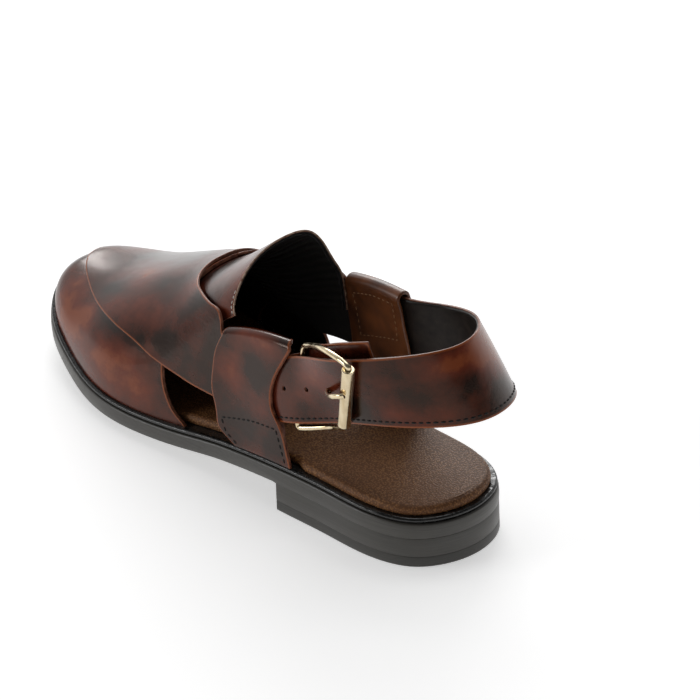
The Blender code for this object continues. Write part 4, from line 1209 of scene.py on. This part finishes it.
# Heel strap patches, lighter and darker: partly real burnish, partly painted sheen and painted shade.
STRAP_SPOTS = (
    ((0.018, -0.022, 0.098), (0.016, 0.014, 0.009), 1.10),
    ((0.032, -0.016, 0.085), (0.012, 0.012, 0.016), 0.80),
    ((-0.004, -0.024, 0.098), (0.012, 0.010, 0.006), 0.60),
    ((-0.034, 0.036, 0.078), (0.008, 0.010, 0.014), 0.55),
    ((-0.034, 0.022, 0.072), (0.008, 0.008, 0.014), 0.30),
    ((0.008, -0.030, 0.088), (0.008, 0.008, 0.007), -0.60),
    ((0.026, -0.032, 0.076), (0.014, 0.012, 0.008), -0.55),
    ((-0.018, -0.012, 0.086), (0.012, 0.012, 0.014), -0.30),
    ((-0.012, -0.022, 0.074), (0.020, 0.016, 0.006), 0.40),
)
fine_shares = fine_steps(220, hole_shares, HOLE_REACH / strap_length)
fine_downs = fine_steps(32, [PRONG_DOWN], HOLE_REACH / STRAP_WIDTH)
strap_skin = strap_sheet("heel_strap_leather", fine_shares, fine_downs, SKIN_DEPTH, STRAP_SKIN,
                         (polished, cut_edge, cut_edge), STRAP_SPOTS, 0.0003, strap_holes)
fasten(strap_skin, "burnished_brown", "heel_strap")
strap_lining = strap_sheet("heel_strap_lining", fine_shares, 0.012 + fine_downs * 0.973, LINING_DEPTH,
                           STRAP_LINING, (charcoal, charcoal, charcoal), (), 0.0, strap_holes)
fasten(strap_lining, "black_lining")
line_shares, line_down = np.linspace(0.075, 0.925, 300), np.full(300, 0.925)
strap_line = on_strap(line_shares, line_down, SKIN_DEPTH + 0.00005), strap_out(line_shares, line_down)
fasten(sew("heel_strap_stitches", [strap_line], 0.0034, black_thread), "black_edge")

# Buckle tab: the leather tab under the strap that carries the buckle's bar. Its free end shows
# above the strap inside the shoe.
TAB_LEATHER = 0.0012
TAB_TUCKED = 0.016
TAB_LENGTH = 0.0665
TAB_FREE = 0.003
TAB_WIDENS = 0.007
TAB_WIDE = 0.017
TAB_ABOVE = 0.006
TAB_BELOW = 0.003
WIRE_RADIUS = 0.0013
HINGE_FROM_LOOP = 0.0125
hinge_share = mouth_share + HINGE_FROM_LOOP / strap_length
distances = np.linspace(-TAB_TUCKED, TAB_LENGTH, 70)
shares = mouth_share + distances / strap_length
before_bar = HINGE_FROM_LOOP - 2 * WIRE_RADIUS
bar_room = 2 * WIRE_RADIUS + 2 * GAP
tab_depths = -(HALF_STRAP + GAP + bar_room * eased(distances, TAB_FREE, before_bar))
widen = eased(distances, TAB_WIDENS, TAB_WIDE)
high = -TAB_ABOVE * widen / STRAP_WIDTH
low = 1.0 + TAB_BELOW * widen / STRAP_WIDTH
tab_down = high + (low - high) * np.linspace(0.0, 1.0, 24)[:, None]
tab_points = on_strap(shares + 0 * tab_down, tab_down, tab_depths + 0 * tab_down)
sides = edge_paint(tab_points)
tab_shape = grid_shape(tab_points, {
    "edge": np.min([sides["low"], sides["high"], sides["right"]], axis=0),
    "burnish_and_painted_light": np.full(tab_points.shape[:2], 0.10)})
turned_out(tab_shape, HEEL_INSIDE)
tab = settle(tab_shape, "buckle_tab_leather", closed=False)
wall(dress(tab, polished, polished, cut_edge), TAB_LEATHER, 0.0004)
fasten(tab, "raw_leather", "buckle_tab")

# Buckle: a bent wire frame with a roller and a flattened prong, plated pale gold. The strap runs
# under the roller and over the hinge bar, and the prong goes through the hole next to the roller.
ROLLER_RADIUS = 0.0031
ROLLER_LENGTH = 0.0370
ROLLER_LEAN = -0.0068
ARM_SPREAD = 0.0209
ARM_BOW = 0.0026
ARM_CORNER = 0.0045
ARM_RISE = 2.2
PRONG_RADIUS = 0.0012
PRONG_CLIMB = 0.0040


def gilt():
    """Pale gold plating, polished, with a few rubbed streaks."""
    material, tree, shader = nodes_of("pale_gold_plating")
    streaks = texture(tree, "ShaderNodeTexNoise", 300.0, (1, 1, 0.15), detail=3)
    link(tree, ramp(tree, streaks.outputs["Fac"], ((0.3, (0.62, 0.49, 0.30)), (0.7, (0.86, 0.74, 0.52)))),
         shader.inputs["Base Color"])
    link(tree, between(tree, streaks.outputs["Fac"], 0.3, 0.7, 0.12, 0.24), shader.inputs["Roughness"])
    shader.inputs["Metallic"].default_value = 1.0
    return material


gold = gilt()


def strap_axes(share, depth, lean=0.0):
    """A place on the strap's middle line, the way up across it and the way out."""
    middle = on_strap(share, PRONG_DOWN, depth)
    up = strap_surface(share - lean, 0.0) - strap_surface(share + lean, 1.0)
    return middle, up / np.linalg.norm(up), strap_out(np.asarray(share), np.asarray(PRONG_DOWN))


roller_depth = HALF_STRAP + GAP + ROLLER_RADIUS + 0.0005
hinge_depth = HALF_STRAP + STRAP_CUP + GAP * 1.5 + WIRE_RADIUS
centre, roller_up, outward = strap_axes(roller_share, roller_depth, ROLLER_LEAN / strap_length)
reach = ROLLER_FROM_LOOP - HINGE_FROM_LOOP
roller_half = ROLLER_LENGTH / 2 + 3 * GAP
hinge_half = ARM_SPREAD - ARM_CORNER / 2


def frame_arm(side):
    """One bent side of the buckle's frame, from the hinge bar to the roller bar."""
    bends = [(1 - math.sin(t), math.cos(t)) for t in np.radians(np.linspace(0, 90, 9))]
    places = [(ARM_CORNER / 2 * back, hinge_half + (ARM_SPREAD - hinge_half) * aside)
              for back, aside in bends[::-1]]
    places += [(reach * share, ARM_SPREAD) for share in np.linspace(0.12, 0.84, 14)]
    places += [(reach - ARM_CORNER * back, roller_half + (ARM_SPREAD - roller_half) * aside)
               for back, aside in bends]
    points = []
    for distance, spread in places:
        t = distance / reach
        depth = (roller_depth + hinge_depth) * t ** ARM_RISE - hinge_depth
        middle, up, out = strap_axes(
            hinge_share + distance / strap_length, depth, ROLLER_LEAN * t * t / strap_length)
        points.append(middle + up * side * (spread + ARM_BOW * math.sin(math.pi * t ** 1.5)))
    return points


def bar(start, end, count=9):
    """Even places along a straight bar, without its ends."""
    share = np.linspace(0.0, 1.0, count + 2)[1:-1, None]
    return list(start * (1 - share) + end * share)


low_arm = frame_arm(-1.0)
high_arm = frame_arm(1.0)
frame_path = [*low_arm, *bar(low_arm[-1], high_arm[-1]), *high_arm[::-1], *bar(high_arm[0], low_arm[0])]
buckle_frame = tube("buckle_wire_frame", frame_path, [WIRE_RADIUS * 1.12] * len(frame_path), closed=True)
dress(buckle_frame, gold)
fasten(buckle_frame, "pale_gold", "buckle_frame")
ROLLER_SOFT = 0.0004
profile_half = (
    (WIRE_RADIUS * 1.2, ROLLER_LENGTH / 2), (ROLLER_RADIUS - ROLLER_SOFT, ROLLER_LENGTH / 2),
    (ROLLER_RADIUS - ROLLER_SOFT * 0.3, ROLLER_LENGTH / 2 - ROLLER_SOFT * 0.3),
    (ROLLER_RADIUS, ROLLER_LENGTH / 2 - ROLLER_SOFT),
)
profile = [(radius, -height) for radius, height in profile_half] + list(profile_half[::-1])
roller_shape = bmesh.new()
corners = [roller_shape.verts.new((radius, 0.0, height)) for radius, height in profile]
sides = [roller_shape.edges.new(pair) for pair in zip(corners, corners[1:] + corners[:1])]
bmesh.ops.spin(roller_shape, geom=corners + sides, cent=(0, 0, 0), axis=(0, 0, 1), angle=2 * math.pi,
               steps=48, use_merge=True, use_duplicate=False)
turn = Vector(roller_up).to_track_quat("Z", "Y").to_matrix().to_4x4()
bmesh.ops.transform(roller_shape, matrix=Matrix.Translation(Vector(centre)) @ turn, verts=roller_shape.verts)
roller = settle(roller_shape, "buckle_roller_tube", sharp=18)
dress(roller, gold)
fasten(roller, "pale_gold", "buckle_roller")
over = roller_depth + ROLLER_RADIUS + PRONG_RADIUS * 0.8
hole = hole_shares[0]
prong_places = (
    (hinge_share + 0.0028 / strap_length, -hinge_depth),
    (hole - 0.0012 / strap_length, -hinge_depth + GAP),
    (hole, -0.0010),
    (hole, 0.0014),
    (hole * 0.45 + roller_share * 0.55, over * 0.88),
    (hole * 0.2 + roller_share * 0.8, over + GAP),
    (roller_share, over + 2 * GAP),
    (roller_share + 0.0026 / strap_length, over),
)
climb = PRONG_CLIMB / STRAP_WIDTH
knots = np.linspace(0, 1, len(prong_places))
share_line = steady_curve(knots, [row[0] for row in prong_places])
depth_line = steady_curve(knots, [row[1] for row in prong_places])
fine = np.linspace(0, 1, 40)
prong_path = []
for t in fine:
    share = float(share_line(t))
    down = PRONG_DOWN - climb * float(eased(share, hole, roller_share))
    prong_path.append(on_strap(share, down, float(depth_line(t))))
prong_widths = [(0.0016 - 0.0003 * t, 0.0010) for t in fine]
prong = tube("buckle_prong_rod", prong_path, prong_widths, flat=outward)
dress(prong, gold)
fasten(prong, "pale_gold", "buckle_prong")

# Studio: a white paper floor, three softboxes in a dim room that is brighter on the far side, and
# the camera of the photograph.
bpy.ops.mesh.primitive_plane_add(size=8.0, location=(0.0, 0.0, 0.0))
floor = bpy.context.object
floor.name = "studio_floor"
paper, tree, shader = nodes_of("white_paper_floor")
shader.inputs["Base Color"].default_value = (0.90, 0.90, 0.90, 1.0)
shader.inputs["Roughness"].default_value = 0.85
shader.inputs["Emission Color"].default_value = (1.0, 1.0, 1.0, 1.0)
shader.inputs["Emission Strength"].default_value = 0.50
floor.data.materials.append(paper)

world = bpy.data.worlds.new("studio_light")
bpy.context.scene.world = world
world.use_nodes = True
sky = world.node_tree
where = sky.nodes.new("ShaderNodeTexCoord")
glow = sky.nodes.new("ShaderNodeMapRange")
glow.interpolation_type = "SMOOTHSTEP"
for socket, number in zip(glow.inputs[1:5], (-0.1, 0.95, 0.10, 0.80)):
    socket.default_value = number
far_side = sky.nodes.new("ShaderNodeVectorMath")
far_side.operation = "DOT_PRODUCT"
far_side.inputs[1].default_value = (0.62, 0.78, 0.0)
sky.links.new(where.outputs["Generated"], far_side.inputs[0])
sky.links.new(far_side.outputs["Value"], glow.inputs[0])
sky.links.new(glow.outputs[0], sky.nodes["Background"].inputs["Strength"])
sky.nodes["Background"].inputs["Color"].default_value = (1.0, 1.0, 1.0, 1.0)


def softbox(name, place, aim, width, height, power):
    """A large soft light."""
    data = bpy.data.lights.new(name, "AREA")
    data.shape = "RECTANGLE"
    data.size = width
    data.size_y = height
    data.energy = power
    item = bpy.data.objects.new(name, data)
    bpy.context.scene.collection.objects.link(item)
    item.location = place
    item.rotation_euler = (Vector(aim) - Vector(place)).to_track_quat("-Z", "Y").to_euler()


softbox("overhead_softbox", (0.6, 0.6, 2.3), (0.0, 0.1, 0.0), 1.4, 1.4, 11.0)
softbox("far_softbox", (1.7, 2.3, 1.15), (0.0, 0.1, 0.05), 1.7, 1.0, 34.0)
softbox("left_softbox", (-1.9, 1.4, 0.75), (0.0, 0.1, 0.05), 1.1, 0.7, 14.0)
bpy.context.scene.view_settings.view_transform = "Standard"

lens = bpy.data.cameras.new("photo_camera")
lens.lens = 421.4
lens.sensor_width = 36.0
lens.clip_end = 30.0
camera = bpy.data.objects.new("photo_camera", lens)
bpy.context.scene.collection.objects.link(camera)
azimuth = math.radians(-37.15)
elevation = math.radians(30.69)
roll = math.radians(-2.18)
level = math.cos(elevation)
back = Vector((math.sin(azimuth) * level, -math.cos(azimuth) * level, math.sin(elevation)))
right = Vector((0.0, 0.0, 1.0)).cross(back).normalized()
up = back.cross(right).normalized()
across = right * math.cos(roll) + up * math.sin(roll)
upward = up * math.cos(roll) - right * math.sin(roll)
stand = Vector((0.07348, 0.14604, 0.0)) + back * 3.8924
camera.matrix_world = Matrix([[across[i], upward[i], back[i], stand[i]] for i in range(3)] + [[0, 0, 0, 1]])
bpy.context.scene.camera = camera
